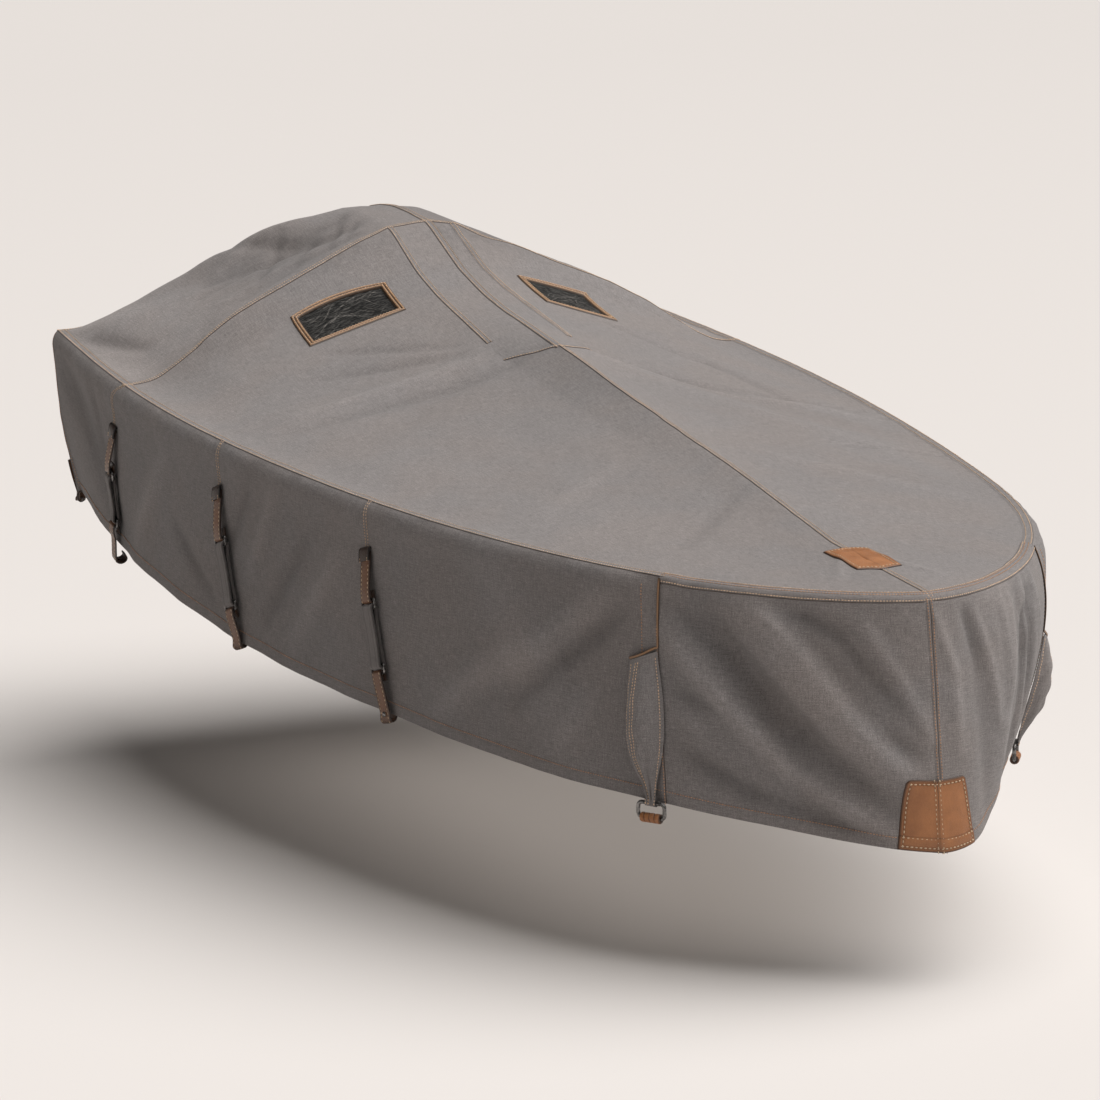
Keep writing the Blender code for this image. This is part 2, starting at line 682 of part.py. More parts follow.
def skirt_axes(skin, along, depth):
    """The directions along the skirt and down it at a place."""
    reach = 0.01
    beside = skin.on_skirt(along + reach, depth, 0.0) - skin.on_skirt(along - reach, depth, 0.0)
    beside /= np.linalg.norm(beside)
    down = skin.on_skirt(along, depth + reach, 0.0) - skin.on_skirt(along, depth - reach, 0.0)
    down -= beside * (down @ beside)
    return beside, down / np.linalg.norm(down)


def under_wire(depth, radius):
    """A strap's turn under a wire, from its front to its back."""
    return [(depth + radius * math.cos(math.radians(turn)),
             LOOP_OUT + radius * math.sin(math.radians(turn))) for turn in TURN]


def over_wire(depth, radius):
    """A strap's turn over a wire, from its back to its front."""
    return [(depth - radius * math.cos(math.radians(turn)),
             LOOP_OUT + radius * math.sin(math.radians(turn))) for turn in reversed(TURN)]


def add_strap(skin, stem, rim_along, lean, hang, materials):
    """A leather strip, a steel loop, a doubled web, a second loop, and a tail turned under the hem."""
    drop = skin.drop_at(rim_along)
    wrap = WIRE + WRAP_GAP + TRIM / 2
    front = LOOP_OUT + wrap
    back = LOOP_OUT - wrap
    upper_wire = UPPER_LOOP
    web_top = upper_wire + LOOP_HEIGHT
    web_end = min(LOWER_LOOP, drop - LOWER_LOOP_OVER_HEM)
    tail_top = web_end + LOOP_HEIGHT

    tilt = math.hypot(1.0, lean)

    def place(depth, out, aside=0.0):
        """A place on the strap: its width runs square to the way it leans."""
        along = rim_along + lean * (min(depth, drop) - TAB_DEPTH)
        return skin.on_skirt(along + aside / tilt, depth - aside * lean / tilt, out)

    def add_strip(name, path, width, material, closed=False):
        grid = [[place(depth, out, side * width / 2) for side in (-1, 1)] for depth, out in path]
        add_sheet(f"{stem}_{name}", grid, TRIM, materials[material], closed=closed)

    strip = [(TAB_DEPTH, 0.0024), (TAB_DEPTH + 0.016, 0.0028), (0.150, 0.0100), (0.180, front - 0.001)]
    strip += under_wire(upper_wire, wrap)
    strip += [(upper_wire - 0.018, back)]
    add_strip("strip", strip, STRAP_WIDTH, "leather")

    web = [((web_top + web_end) / 2, front + 0.001)]
    web += under_wire(web_end, wrap)
    web += [((web_top + web_end) / 2, back)]
    web += over_wire(web_top, wrap)
    add_strip("web", web, WEB_WIDTH, "webbing", closed=True)

    tail = [(tail_top + 0.016, back)]
    tail += over_wire(tail_top, wrap)
    tail += [(drop - 0.012, 0.0120), (drop + hang - 0.011, 0.0100), (drop + hang - 0.002, 0.006),
             (drop + hang, -0.001), (drop + hang - 0.004, -0.0075), (drop + hang - 0.014, -0.0105),
             (drop - 0.006, -0.0100)]
    add_strip("tail", tail, STRAP_WIDTH, "leather")

    for name, top_wire in (("upper", upper_wire), ("lower", web_end)):
        depth = top_wire + LOOP_HEIGHT / 2
        beside = place(depth, LOOP_OUT, 0.01) - place(depth, LOOP_OUT, -0.01)
        beside /= np.linalg.norm(beside)
        down = place(top_wire + LOOP_HEIGHT, LOOP_OUT) - place(top_wire, LOOP_OUT)
        down -= beside * (down @ beside)
        down /= np.linalg.norm(down)
        add_wire_loop(f"{stem}_loop_{name}", place(depth, LOOP_OUT), beside, down,
                      LOOP_WIDTH, LOOP_HEIGHT, WIRE, materials["steel"])


def add_straps(skin, materials):
    for name, station, lean, hang in STRAPS:
        rim_along = skin.along_of(station)
        add_strap(skin, f"strap_{name}_starboard", rim_along, lean, hang, materials)
        add_strap(skin, f"strap_{name}_port", -rim_along, -lean, hang, materials)


def add_stud(skin, material):
    """The stud on the fore starboard strap's tail, over the hem's edge."""
    _, station, lean, _ = STRAPS[-1]
    rim_along = skin.along_of(station)
    drop = skin.drop_at(rim_along)
    depth = drop + 0.002
    along = rim_along + lean * (drop - TAB_DEPTH)
    beside, down = skirt_axes(skin, along, drop - 0.02)
    out = np.cross(beside, down)
    centre = skin.on_skirt(along, depth, 0.0)
    out *= np.sign(out @ (centre - np.array([centre[0], 0.0, centre[2]])))
    faces_at = (STUD_FOOT, STUD_FOOT + STUD_HEIGHT)
    rings = [[centre + out * height + STUD_RADIUS * (math.cos(turn) * beside + math.sin(turn) * down)
              for turn in np.linspace(0, 2 * math.pi, 10, endpoint=False)] for height in faces_at]
    faces = [list(range(10)), list(range(19, 9, -1))]
    faces += [[k, (k + 1) % 10, 10 + (k + 1) % 10, 10 + k] for k in range(10)]
    add_object("strap_fore_starboard_stud", rings[0] + rings[1], faces, material)


def add_corner_strap(skin, material):
    """The short strap bent round the starboard corner, with its turned end."""
    rim_along = skin.along[0] - CORNER_STRAP_IN
    drop = skin.drops[0]
    path = [(0.300, 0.0030), (0.325, 0.0038), (drop - 0.012, 0.0070), (drop + 0.010, 0.0070),
            (drop + 0.019, 0.0040), (drop + 0.021, -0.0015), (drop + 0.017, -0.0070),
            (drop - 0.006, -0.0095)]
    grid = [[skin.on_skirt(rim_along + side * STRAP_WIDTH / 2, depth, out) for side in (-1, -0.5, 0, 0.5, 1)]
            for depth, out in path]
    add_sheet("strap_corner_starboard", grid, TRIM, material)


def add_flap(skin, name, side, materials):
    """The pleat's flap, gathered into a steel loop under the hem, with its binding and leather roll."""
    edge = side * -skin.along_of(PLEAT)
    drop = skin.drop_at(edge)
    wrap = FLAP_WIRE + WRAP_GAP + CLOTH / 2
    top_wire = drop + FLAP_LOOP_UNDER_HEM
    centre_along = edge + side * FLAP_IN
    top_depth = FLAP_TOPS[name] * drop
    rows = []
    for down, half_width, middle_out, bow_edge_out, aft_edge_out, shift in FLAP:
        row = []
        for u in FLAP_ACROSS:
            edge_out = aft_edge_out if side * u > 0 else bow_edge_out
            out = edge_out + (middle_out - edge_out) * (1 - u * u)
            depth = top_depth + down * (drop - top_depth) + FLAP_SLOPE * side * u * (1 - down) ** 2
            row.append(skin.on_skirt(centre_along + u * half_width - side * shift, depth, out))
        rows.append(row)
    ending = [(top_wire + wrap * math.cos(math.radians(turn)),
               FLAP_LOOP_OUT + wrap * math.sin(math.radians(turn))) for turn in TURN]
    ending += [(top_wire - 0.016, FLAP_LOOP_OUT - wrap)]
    end_half = FLAP[-1][1]
    for depth, out in ending:
        rows.append([skin.on_skirt(centre_along + u * end_half - side * FLAP[-1][5], depth, out)
                     for u in FLAP_ACROSS])
    add_sheet(f"pleat_flap_{name}", rows, CLOTH, materials["canvas"])

    top = FLAP[0]
    turn_depth = top_depth - FLAP_SLOPE - BINDING_WIDTH / 2 - 2 * LAY_GAP
    height = PATCH_LAY + TRIM / 2
    path = [(edge, BINDING_START, height)]
    path += [(edge, v * drop, height) for v in ROWS if BINDING_START < v * drop < turn_depth - 0.012]
    path += [(edge, turn_depth - 0.012, height), (edge + side * 0.002, turn_depth - 0.003, height),
             (edge + side * 0.010, turn_depth, height + 0.001),
             (centre_along, turn_depth + FLAP_SLOPE, top[2]),
             (centre_along + side * top[1] * 0.7, turn_depth + FLAP_SLOPE * 1.7, (top[2] + top[4]) / 2),
             (centre_along + side * (top[1] + 0.002), turn_depth + FLAP_SLOPE * 2, top[4])]
    grid = []
    for k, (along, depth, out) in enumerate(path):
        before = path[max(0, k - 1)]
        after = path[min(len(path) - 1, k + 1)]
        run = np.array([after[0] - before[0], after[1] - before[1]])
        run /= np.linalg.norm(run)
        grid.append([skin.on_skirt(along - end * run[1] * BINDING_WIDTH / 2,
                                   depth + end * run[0] * BINDING_WIDTH / 2, out)
                     for end in (-1, 0, 1)])
    add_sheet(f"pleat_binding_{name}", grid, TRIM, materials["binding"])

    beside, _ = skirt_axes(skin, centre_along, drop * 0.95)
    upright = np.array([0.0, 0.0, -1.0])
    beside[2] = 0.0
    beside /= np.linalg.norm(beside)
    centre = skin.on_skirt(centre_along - side * FLAP[-1][5], top_wire, FLAP_LOOP_OUT)
    centre += upright * FLAP_LOOP_HEIGHT / 2
    add_wire_loop(f"pleat_loop_{name}", centre, beside, upright, FLAP_LOOP_WIDTH, FLAP_LOOP_HEIGHT,
                  FLAP_WIRE, materials["steel"])
    low_wire = centre + upright * FLAP_LOOP_HEIGHT / 2
    add_sleeve(f"pleat_roll_{name}", low_wire, beside, SLEEVE_HALF, FLAP_WIRE + 0.0008, FLAP_SLEEVE,
               materials["leather"])


class Deck:
    """The deck's cloth seen from above, for what is laid or cut there."""

    def __init__(self, skin):
        faces = [face for panel in skin.panels.values() for face in panel]
        self.tree = BVHTree.FromPolygons([tuple(point) for point in skin.points], faces)

    def height(self, x, y):
        return self.tree.ray_cast((x, y, BOW_RIM_Z + 1.0), (0.0, 0.0, -1.0))[0].z

    def lay(self, aft, across, height):
        """A place over the deck, by its distances behind the bow and from the centre."""
        x = BOW_X - aft
        reach = 0.004
        slope_x = (self.height(x + reach, across) - self.height(x - reach, across)) / (2 * reach)
        slope_y = (self.height(x, across + reach) - self.height(x, across - reach)) / (2 * reach)
        steep = math.sqrt(1 + slope_x ** 2 + slope_y ** 2)
        return np.array([x, across, self.height(x, across) + height * steep])


def vent_place(side, u, v):
    """A place in a vent: u runs inwards and v runs down the slope, both from 0 to 1."""
    ((aft_1, out_1), (aft_2, out_2), (aft_3, out_3), (aft_4, out_4)), bow, _, _ = VENTS[side]
    aft = (1 - v) * ((1 - u) * aft_1 + u * aft_2) + v * ((1 - u) * aft_4 + u * aft_3)
    across = (1 - v) * ((1 - u) * out_1 + u * out_2) + v * ((1 - u) * out_4 + u * out_3)
    return aft + bow * 4 * u * (1 - u) * (1 - v), side * across


def vent_outline(side, margin):
    """Places round a vent, a margin in from its frame's outer edge."""
    _, _, width, height = VENTS[side]
    u0 = margin / width
    v0 = margin / height
    us = np.linspace(u0, 1 - u0, 7)
    vs = np.linspace(v0, 1 - v0, 5)
    outline = [(u, v0) for u in us[:-1]]
    outline += [(1 - u0, v) for v in vs[:-1]]
    outline += [(u, 1 - v0) for u in us[:0:-1]]
    outline += [(u0, v) for v in vs[:0:-1]]
    return [vent_place(side, u, v) for u, v in outline]


def add_vent(deck, panel, name, side, materials):
    """A window of black mesh in a bound frame, with its hole through the deck panel."""
    hole = vent_outline(side, VENT_LAP)
    lows = [(BOW_X - aft, across, BOW_RIM_Z - 0.2) for aft, across in hole]
    highs = [(x, y, BOW_RIM_Z + 0.6) for x, y, _ in lows]
    count = len(hole)
    faces = [list(range(count)), list(range(2 * count - 1, count - 1, -1))]
    faces += [[k, (k + 1) % count, count + (k + 1) % count, count + k] for k in range(count)]
    cutter = add_object(f"vent_cutter_{name}", lows + highs, faces, materials["canvas"])
    cutter.hide_render = True
    cutter.display_type = "WIRE"
    cut = panel.modifiers.new("vent hole", "BOOLEAN")
    cut.operation = "DIFFERENCE"
    cut.object = cutter

    frame_low = VENT_LAY
    frame_high = VENT_LAY + VENT_FRAME_THICK
    rings = [vent_outline(side, margin) for margin in (0.0, VENT_FRAME)]
    front = [[deck.lay(*outer, frame_high), deck.lay(*inner, frame_high)] for outer, inner in zip(*rings)]
    back = [[deck.lay(*outer, frame_low), deck.lay(*inner, frame_low)] for outer, inner in zip(*rings)]
    add_sheet(f"vent_frame_{name}", front, 0.0, materials["binding"], closed=True, sides=back)

    inset = VENT_LAP + LAY_GAP
    _, _, width, height = VENTS[side]
    us = np.linspace(inset / width, 1 - inset / width, 7)
    vs = np.linspace(inset / height, 1 - inset / height, 5)
    places = [[vent_place(side, u, v) for u in us] for v in vs]
    front = [[deck.lay(*place, -VENT_SUNK) for place in row] for row in places]
    back = [[deck.lay(*place, -VENT_SUNK - TRIM) for place in row] for row in places]
    add_sheet(f"vent_mesh_{name}", front, 0.0, materials["vent_mesh"], sides=back)


def add_fore_patch(deck, material):
    """The small leather patch across the foredeck's ridge."""
    front = []
    back = []
    for t in np.linspace(0, 1, 6):
        high_row = []
        low_row = []
        for u in np.linspace(-1, 1, 9):
            reach = FORE_PATCH_POINT * (1 - abs(u)) * (1 - 2 * t)
            aft = FORE_PATCH[0] + (FORE_PATCH[1] - FORE_PATCH[0]) * t + reach
            high_row.append(deck.lay(aft, u * FORE_PATCH_HALF, FORE_PATCH_LAY + TRIM))
            low_row.append(deck.lay(aft, u * FORE_PATCH_HALF, FORE_PATCH_LAY))
        front.append(high_row)
        back.append(low_row)
    add_sheet("foredeck_patch", front, 0.0, material, sides=back)


def add_bow_patch(skin, material):
    """The leather patch at the foot of the bow's seam, creased where the skin is."""
    columns = [place - BOW_PATCH_SHIFT for place in skin.along[:skin.side_columns]
               if abs(place - BOW_PATCH_SHIFT) < BOW_PATCH_HALVES[-1] - 0.002]
    columns = np.sort(columns + [(a + b) / 2 for a, b in zip(columns, columns[1:])])
    drop = skin.drop_at(0.0)
    depths = [BOW_PATCH_TOP + (drop - BOW_PATCH_TOP) * step for step in BOW_PATCH_STEPS]
    front = []
    back = []
    for depth in sorted(depths + [v * drop for v in ROWS[:-1] if v * drop > BOW_PATCH_TOP]):
        half_width = float(np.interp(depth, depths, BOW_PATCH_HALVES))
        high_row = []
        low_row = []
        for n, place in enumerate([-1.0, *columns, 1.0]):
            margin = 0.002 * min(n, len(columns) + 1 - n)
            along = BOW_PATCH_SHIFT + min(max(place, margin - half_width), half_width - margin)
            down = depth / drop * skin.drop_at(along)
            high_row.append(skin.on_skirt(along, down, PATCH_LAY + TRIM))
            low_row.append(skin.on_skirt(along, down, PATCH_LAY))
        front.append(high_row)
        back.append(low_row)
    add_sheet("bow_patch", front, 0.0, material, sides=back)


def add_bow_band(skin, material):
    """The band that is folded over the rim round the bow, from pleat to pleat."""
    front = []
    back = []
    for column in range(AT_PLEAT, skin.side_columns - AT_PLEAT):
        key = skin.rim[column]
        keys = [skin.deck_key(key[1], EDGE - 1, key[3]), key, ("skirt", column, 1)]
        front.append([skin.lifted(each, PATCH_LAY + BAND) for each in keys])
        back.append([skin.lifted(each, PATCH_LAY) for each in keys])
    add_sheet("bow_rim_band", front, 0.0, material, sides=back)


def centre_cover():
    """Bring the cover's middle in plan to the origin, and its lowest point to the ground plane."""
    meshes = [thing.data for thing in bpy.data.objects]
    shown = [thing.data for thing in bpy.data.objects if not thing.hide_render]
    places = np.array([vertex.co[:] for mesh in shown for vertex in mesh.vertices])
    low = places.min(axis=0)
    high = places.max(axis=0)
    shift = Matrix.Translation((-(low[0] + high[0]) / 2, -(low[1] + high[1]) / 2, -low[2]))
    for mesh in meshes:
        mesh.transform(shift)


def main():
    clear_scene()
    materials = make_materials()
    skin = Skin()
    deck = Deck(skin)
    panels = {name: add_panel(skin, name, materials["canvas"]) for name in skin.panels}
    for name, side in (("starboard", -1), ("port", 1)):
        add_vent(deck, panels["deck_panel_" + name], name, side, materials)
        add_flap(skin, name, side, materials)
    add_bow_band(skin, materials["canvas"])
    add_fore_patch(deck, materials["leather"])
    add_bow_patch(skin, materials["leather"])
    add_straps(skin, materials)
    add_stud(skin, materials["steel"])
    add_corner_strap(skin, materials["leather"])
    centre_cover()


main()
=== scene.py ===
"""Builds the looks of a fitted canvas cover for a small open dinghy over the part's fixed frame.

Metres, +Z up, +X towards the bow and -Y to starboard. The cloth is laid out as one fine skin: a deck grid of
stations and fore-and-aft lines, with skirt columns that hang from its edge. The skin is cut into its panels,
and every seam, band, patch, vent, strap and stitch is then laid on it.
"""

import json
import math
from functools import lru_cache, reduce

import bmesh
import bpy
import numpy as np
from mathutils import Matrix, Vector
from mathutils.bvhtree import BVHTree

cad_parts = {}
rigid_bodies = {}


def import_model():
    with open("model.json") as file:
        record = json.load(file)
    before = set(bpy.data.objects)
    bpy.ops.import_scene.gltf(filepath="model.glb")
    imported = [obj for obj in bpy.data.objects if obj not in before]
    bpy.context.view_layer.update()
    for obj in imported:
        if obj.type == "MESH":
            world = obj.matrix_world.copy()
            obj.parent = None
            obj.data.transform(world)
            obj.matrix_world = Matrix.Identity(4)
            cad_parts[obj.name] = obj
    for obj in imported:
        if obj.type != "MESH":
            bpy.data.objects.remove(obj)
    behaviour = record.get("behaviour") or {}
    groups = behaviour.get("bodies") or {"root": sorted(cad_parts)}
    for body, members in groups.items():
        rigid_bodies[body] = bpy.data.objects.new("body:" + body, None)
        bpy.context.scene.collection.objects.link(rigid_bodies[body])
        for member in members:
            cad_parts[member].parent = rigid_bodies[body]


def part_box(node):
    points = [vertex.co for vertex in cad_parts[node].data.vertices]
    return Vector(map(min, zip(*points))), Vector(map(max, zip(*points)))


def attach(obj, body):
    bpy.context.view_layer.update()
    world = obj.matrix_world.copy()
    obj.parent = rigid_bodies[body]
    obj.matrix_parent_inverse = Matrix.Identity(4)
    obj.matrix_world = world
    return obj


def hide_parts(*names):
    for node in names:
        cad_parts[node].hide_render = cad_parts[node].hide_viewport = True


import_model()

bl_info = {
    "name": "Boat Cover",
    "version": (1, 0, 0),
    "blender": (4, 5, 0),
    "location": "View3D > Sidebar > Boat Cover",
    "description": "Dresses a canvas boat cover piece by piece over its fixed frame",
    "category": "Object",
}

# ---- the cover's layout ------------------------------------------------------------------------
LENGTH = 3.068            # bow to stern along the rim
BOW_X = LENGTH / 2
BOW_RIM_Z = 0.528         # the bow's rim point over the lowest hem
PART_SHIFT = np.array([0.0060766, 0.0002897, -0.0000133])   # from the layout to the part's frame

# by the station value from the stern (0) to the bow (1)
RIM_COLUMNS = ("station", "half_beam", "rise", "drop_starboard", "swell_starboard", "tuck_starboard",
               "drop_port", "swell_port", "tuck_port")
RIM = (
    (0 / 7, 0.706, 0.118, 0.373, 0.009, -0.058, 0.388, 0.020, -0.050),
    (1 / 7, 0.766, 0.077, 0.382, 0.014, -0.006, 0.390, 0.014, -0.006),
    (2 / 7, 0.748, 0.047, 0.421, 0.014, 0.000, 0.420, 0.014, 0.000),
    (3 / 7, 0.672, 0.026, 0.435, 0.014, 0.002, 0.430, 0.018, -0.010),
    (4 / 7, 0.558, 0.015, 0.452, 0.016, 0.002, 0.436, 0.032, -0.052),
    (5 / 7, 0.384, 0.004, 0.470, 0.022, -0.010, 0.420, 0.044, -0.088),
    (6 / 7, 0.180, 0.001, 0.503, 0.020, -0.010, 0.474, 0.034, -0.044),
    (0.93, 0.085, 0.001, 0.517, 0.016, 0.010, 0.517, 0.020, -0.008),
    (1.00, 0.000, 0.000, 0.528, 0.014, 0.012, 0.528, 0.014, 0.012),
)

# by the rim point's distance behind the bow
DECK_COLUMNS = ("aft", "lead", "ridge", "stray", "knuckle", "shed", "shelf",
                "crown_starboard", "crown_port")
DECK = (
    (3.068, -0.030, 0.122, 0.000, 0.110, 0.001, 0.02, 0.08, 0.05),
    (3.020, -0.026, 0.256, 0.006, 0.110, 0.002, 0.03, 0.14, 0.10),
    (2.960, -0.024, 0.340, 0.014, 0.110, 0.004, 0.05, 0.16, 0.11),
    (2.880, -0.034, 0.386, 0.022, 0.110, 0.006, 0.08, 0.13, 0.07),
    (2.740, -0.070, 0.398, 0.030, 0.110, 0.006, 0.14, 0.05, 0.04),
    (2.492, -0.139, 0.386, 0.036, 0.110, 0.004, 0.20, 0.05, 0.04),
    (2.400, -0.010, 0.306, 0.030, 0.114, 0.004, 0.20, 0.04, 0.00),
    (2.260, 0.060, 0.264, 0.020, 0.124, 0.006, 0.18, 0.02, 0.00),
    (2.102, 0.316, 0.232, -0.010, 0.137, 0.036, 0.16, 0.00, 0.00),
    (1.400, 0.160, 0.146, 0.000, 0.130, 0.020, 0.14, 0.00, 0.00),
    (0.898, 0.020, 0.097, 0.000, 0.130, 0.013, 0.12, 0.00, 0.00),
    (0.500, -0.100, 0.053, 0.000, 0.130, 0.007, 0.12, 0.00, 0.00),
    (0.200, -0.220, 0.025, 0.000, 0.130, 0.003, 0.12, 0.00, 0.00),
    (0.040, -0.330, 0.021, 0.000, 0.130, 0.0006, 0.12, 0.00, 0.00),
    (0.000, -0.300, 0.015, 0.000, 0.130, 0.0002, 0.12, 0.00, 0.00),
)
CROSS_ROW = 5
SEAM_ROW = 8
Q_KNUCKLE = 0.125         # the fore-and-aft line of the gusset seams
WIDEST = 0.75             # the half beam, for the spacing of the lines
SIDES = {-1: "starboard", 1: "port"}
PLEAT = 0.686             # the pleat's bound edge, as a station
BOW_SEAM_LEAN = 0.028
LEAN_REACH = 0.35
PLEAT_LEAN = 0.026
PLEAT_REACH = 0.22
SHOULDER = 5
STRAY_FADE = 12
CORNER_REACH = 0.065      # the length of rim over which the skirt turns a corner

# The main folds, which the part's solids have too: along the rim and depth at one end and at the other,
# half width and height. The deck's have the distances behind the bow and across from the centre.
SKIRT_FOLDS = (
    (-0.48, 0.03, -0.22, 0.40, 0.045, -0.014),
    (-0.42, 0.02, -0.10, 0.36, 0.050, 0.012),
    (-0.28, 0.06, -0.08, 0.30, 0.045, -0.008),
    (0.10, 0.05, 0.14, 0.46, 0.030, -0.008),
    (0.20, 0.03, 0.22, 0.44, 0.032, 0.010),
    (0.30, 0.03, 0.30, 0.42, 0.030, -0.010),
    (0.40, 0.05, 0.38, 0.36, 0.035, 0.010),
    (-3.30, 0.02, -2.75, 0.34, 0.060, -0.012),
    (-1.05, 0.05, -0.80, 0.42, 0.070, 0.007),
    (1.20, 0.05, 1.00, 0.40, 0.080, 0.008),
    (2.30, 0.05, 2.50, 0.38, 0.080, 0.008),
)
DECK_FOLDS = (
    (1.85, 0.08, 1.25, 0.52, 0.050, 0.008),
    (1.88, 0.16, 1.45, 0.62, 0.050, -0.008),
    (1.90, -0.10, 1.62, -0.58, 0.060, -0.006),
    (2.95, -0.62, 2.72, -0.20, 0.060, -0.014),
    (2.96, -0.36, 2.80, -0.10, 0.050, 0.010),
    (2.95, 0.62, 2.74, 0.22, 0.060, -0.012),
)

# Finer creases, laid one by one over the main folds.
SKIRT_CREASES = (
    (-0.59, 0.1, -0.44, 0.225, 0.02, 0.01),
    (-0.44, 0.225, -0.3, 0.36, 0.022, 0.011),
    (-0.3, 0.36, -0.1, 0.49, 0.02, 0.01),
    (-0.57, 0.05, -0.42, 0.135, 0.024, -0.01),
    (-0.42, 0.135, -0.27, 0.275, 0.038, -0.014),
    (-0.27, 0.275, -0.1, 0.43, 0.028, -0.012),
    (-0.36, 0.03, -0.25, 0.135, 0.019, 0.009),
    (-0.25, 0.135, -0.14, 0.285, 0.022, 0.01),
    (-0.14, 0.285, -0.065, 0.365, 0.02, 0.008),
    (-0.29, 0.03, -0.19, 0.08, 0.02, -0.009),
    (-0.19, 0.08, -0.075, 0.225, 0.02, -0.009),
    (-0.09, 0.288, -0.041, 0.334, 0.014, -0.006),
    (-0.14, 0.05, -0.065, 0.175, 0.014, 0.006),
    (-0.065, 0.175, -0.01, 0.3, 0.014, 0.006),
    (-0.56, 0.215, -0.47, 0.25, 0.016, -0.007),
    (-0.55, 0.27, -0.48, 0.3, 0.014, 0.005),
    (-0.56, 0.34, -0.38, 0.42, 0.026, -0.01),
    (-0.38, 0.42, -0.12, 0.49, 0.024, -0.009),
    (0.005, 0.03, 0.045, 0.16, 0.012, 0.006),
    (0.045, 0.16, 0.05, 0.32, 0.014, 0.006),
    (0.11, 0.035, 0.147, 0.156, 0.011, 0.006),
    (0.147, 0.156, 0.18, 0.29, 0.012, 0.006),
    (0.08, 0.03, 0.118, 0.17, 0.012, -0.006),
    (0.253, 0.03, 0.232, 0.23, 0.012, 0.006),
    (0.19, 0.05, 0.205, 0.26, 0.016, -0.006),
    (0.416, 0.035, 0.326, 0.105, 0.022, -0.009),
    (0.326, 0.105, 0.31, 0.19, 0.022, -0.009),
    (0.34, 0.03, 0.34, 0.38, 0.01, 0.0057),
    (0.365, 0.03, 0.362, 0.3, 0.013, -0.0063),
    (-2.98, 0.05, -2.88, 0.3, 0.03, -0.0059),
    (1.55, 0.05, 1.62, 0.38, 0.036, -0.0059),
    (0.9, 0.06, 0.84, 0.36, 0.03, -0.0059),
    (2.86, 0.05, 2.8, 0.34, 0.03, 0.0059),
    (3.7, 0.04, 3.86, 0.3, 0.034, -0.0068),
    (4.05, 0.04, 4.1, 0.34, 0.03, 0.0059),
    (4.5, 0.04, 4.42, 0.3, 0.034, -0.0068),
    (0.33, 0.03, 0.3, 0.1, 0.013, 0.0055),
    (0.298, 0.1, 0.29, 0.34, 0.013, 0.0060),
    (0.43, 0.03, 0.44, 0.22, 0.013, 0.0055),
    (-0.7, 0.05, -0.88, 0.19, 0.03, 0.008),
    (-0.88, 0.19, -1.06, 0.275, 0.034, 0.008),
    (-1.06, 0.275, -1.22, 0.385, 0.03, 0.007),
    (-0.67, 0.09, -0.81, 0.2, 0.022, -0.008),
    (-0.81, 0.2, -0.96, 0.32, 0.024, -0.007),
    (-0.75, 0.27, -0.84, 0.39, 0.022, 0.005),
    (-1.62, 0.15, -1.8, 0.36, 0.028, 0.007),
    (-1.89, 0.05, -2.01, 0.26, 0.02, 0.006),
    (-1.75, 0.14, -1.93, 0.34, 0.022, -0.007),
    (-2.39, 0.24, -2.2, 0.345, 0.022, -0.007),
    (-2.46, 0.1, -2.64, 0.31, 0.03, 0.007),
    (-2, 0.04, -2.1, 0.22, 0.02, -0.005),
    (0.4, 0.04, 0.36, 0.24, 0.04, -0.007),
)
DECK_CREASES = (
    (2.56, 0.1, 2.74, 0.56, 0.024, -0.0082),
    (2.7, -0.12, 2.8, -0.44, 0.022, -0.0075),
    (2.64, -0.14, 2.62, -0.34, 0.018, -0.0061),
    (2.6, -0.16, 2.5, -0.56, 0.02, 0.0060),
    (2.86, -0.04, 2.92, -0.4, 0.024, 0.0072),
    (0.8, -0.04, 0.52, -0.3, 0.022, -0.0053),
    (0.34, 0.03, 0.12, 0.1, 0.012, 0.0041),
    (0.34, -0.03, 0.16, -0.12, 0.012, 0.0041),
    (1.1, 0.16, 0.8, 0.46, 0.03, 0.0045),
    (2.1, -0.44, 1.96, -0.16, 0.018, -0.006),
    (2.21, -0.39, 2.02, -0.16, 0.016, -0.0055),
    (1.93, -0.58, 1.92, -0.16, 0.024, 0.0065),
    (1.84, -0.62, 1.82, -0.05, 0.026, -0.007),
    (1.9, 0.09, 1.76, 0.33, 0.016, -0.0055),
    (1.76, 0.33, 1.7, 0.68, 0.018, -0.006),
    (1.84, 0.1, 1.7, 0.34, 0.016, 0.005),
    (1.7, 0.34, 1.62, 0.66, 0.018, 0.0055),
    (2.1, 0.46, 1.7, 0.52, 0.018, -0.0055),
    (2.24, 0.27, 2, 0.49, 0.018, -0.005),
    (1.24, 0.42, 1.24, 0.65, 0.016, -0.0045),
    (1.1, -0.2, 0.9, -0.46, 0.03, 0.004),
    (2.74, -0.48, 2.78, -0.12, 0.02, -0.008),
    (2.62, -0.46, 2.66, -0.14, 0.02, 0.006),
    (3.05, -0.42, 2.72, -0.2, 0.024, -0.008),
    (2.9, -0.69, 2.67, -0.64, 0.016, -0.006),
    (2.8, -0.11, 2.62, -0.22, 0.014, -0.006),
    (2.75, -0.21, 2.62, -0.3, 0.014, -0.006),
    (2.86, -0.24, 2.63, -0.38, 0.016, -0.007),
    (2.72, -0.11, 2.63, -0.17, 0.011, -0.005),
    (2.89, -0.3, 2.83, -0.41, 0.016, 0.006),
)


def unit(ways):
    """The ways as unit vectors."""
    return ways / np.linalg.norm(ways, axis=-1, keepdims=True)


def run_of(places):
    """How far along a line each of its places is."""
    return np.concatenate([[0], np.cumsum(np.linalg.norm(np.diff(places, axis=0), axis=1))])


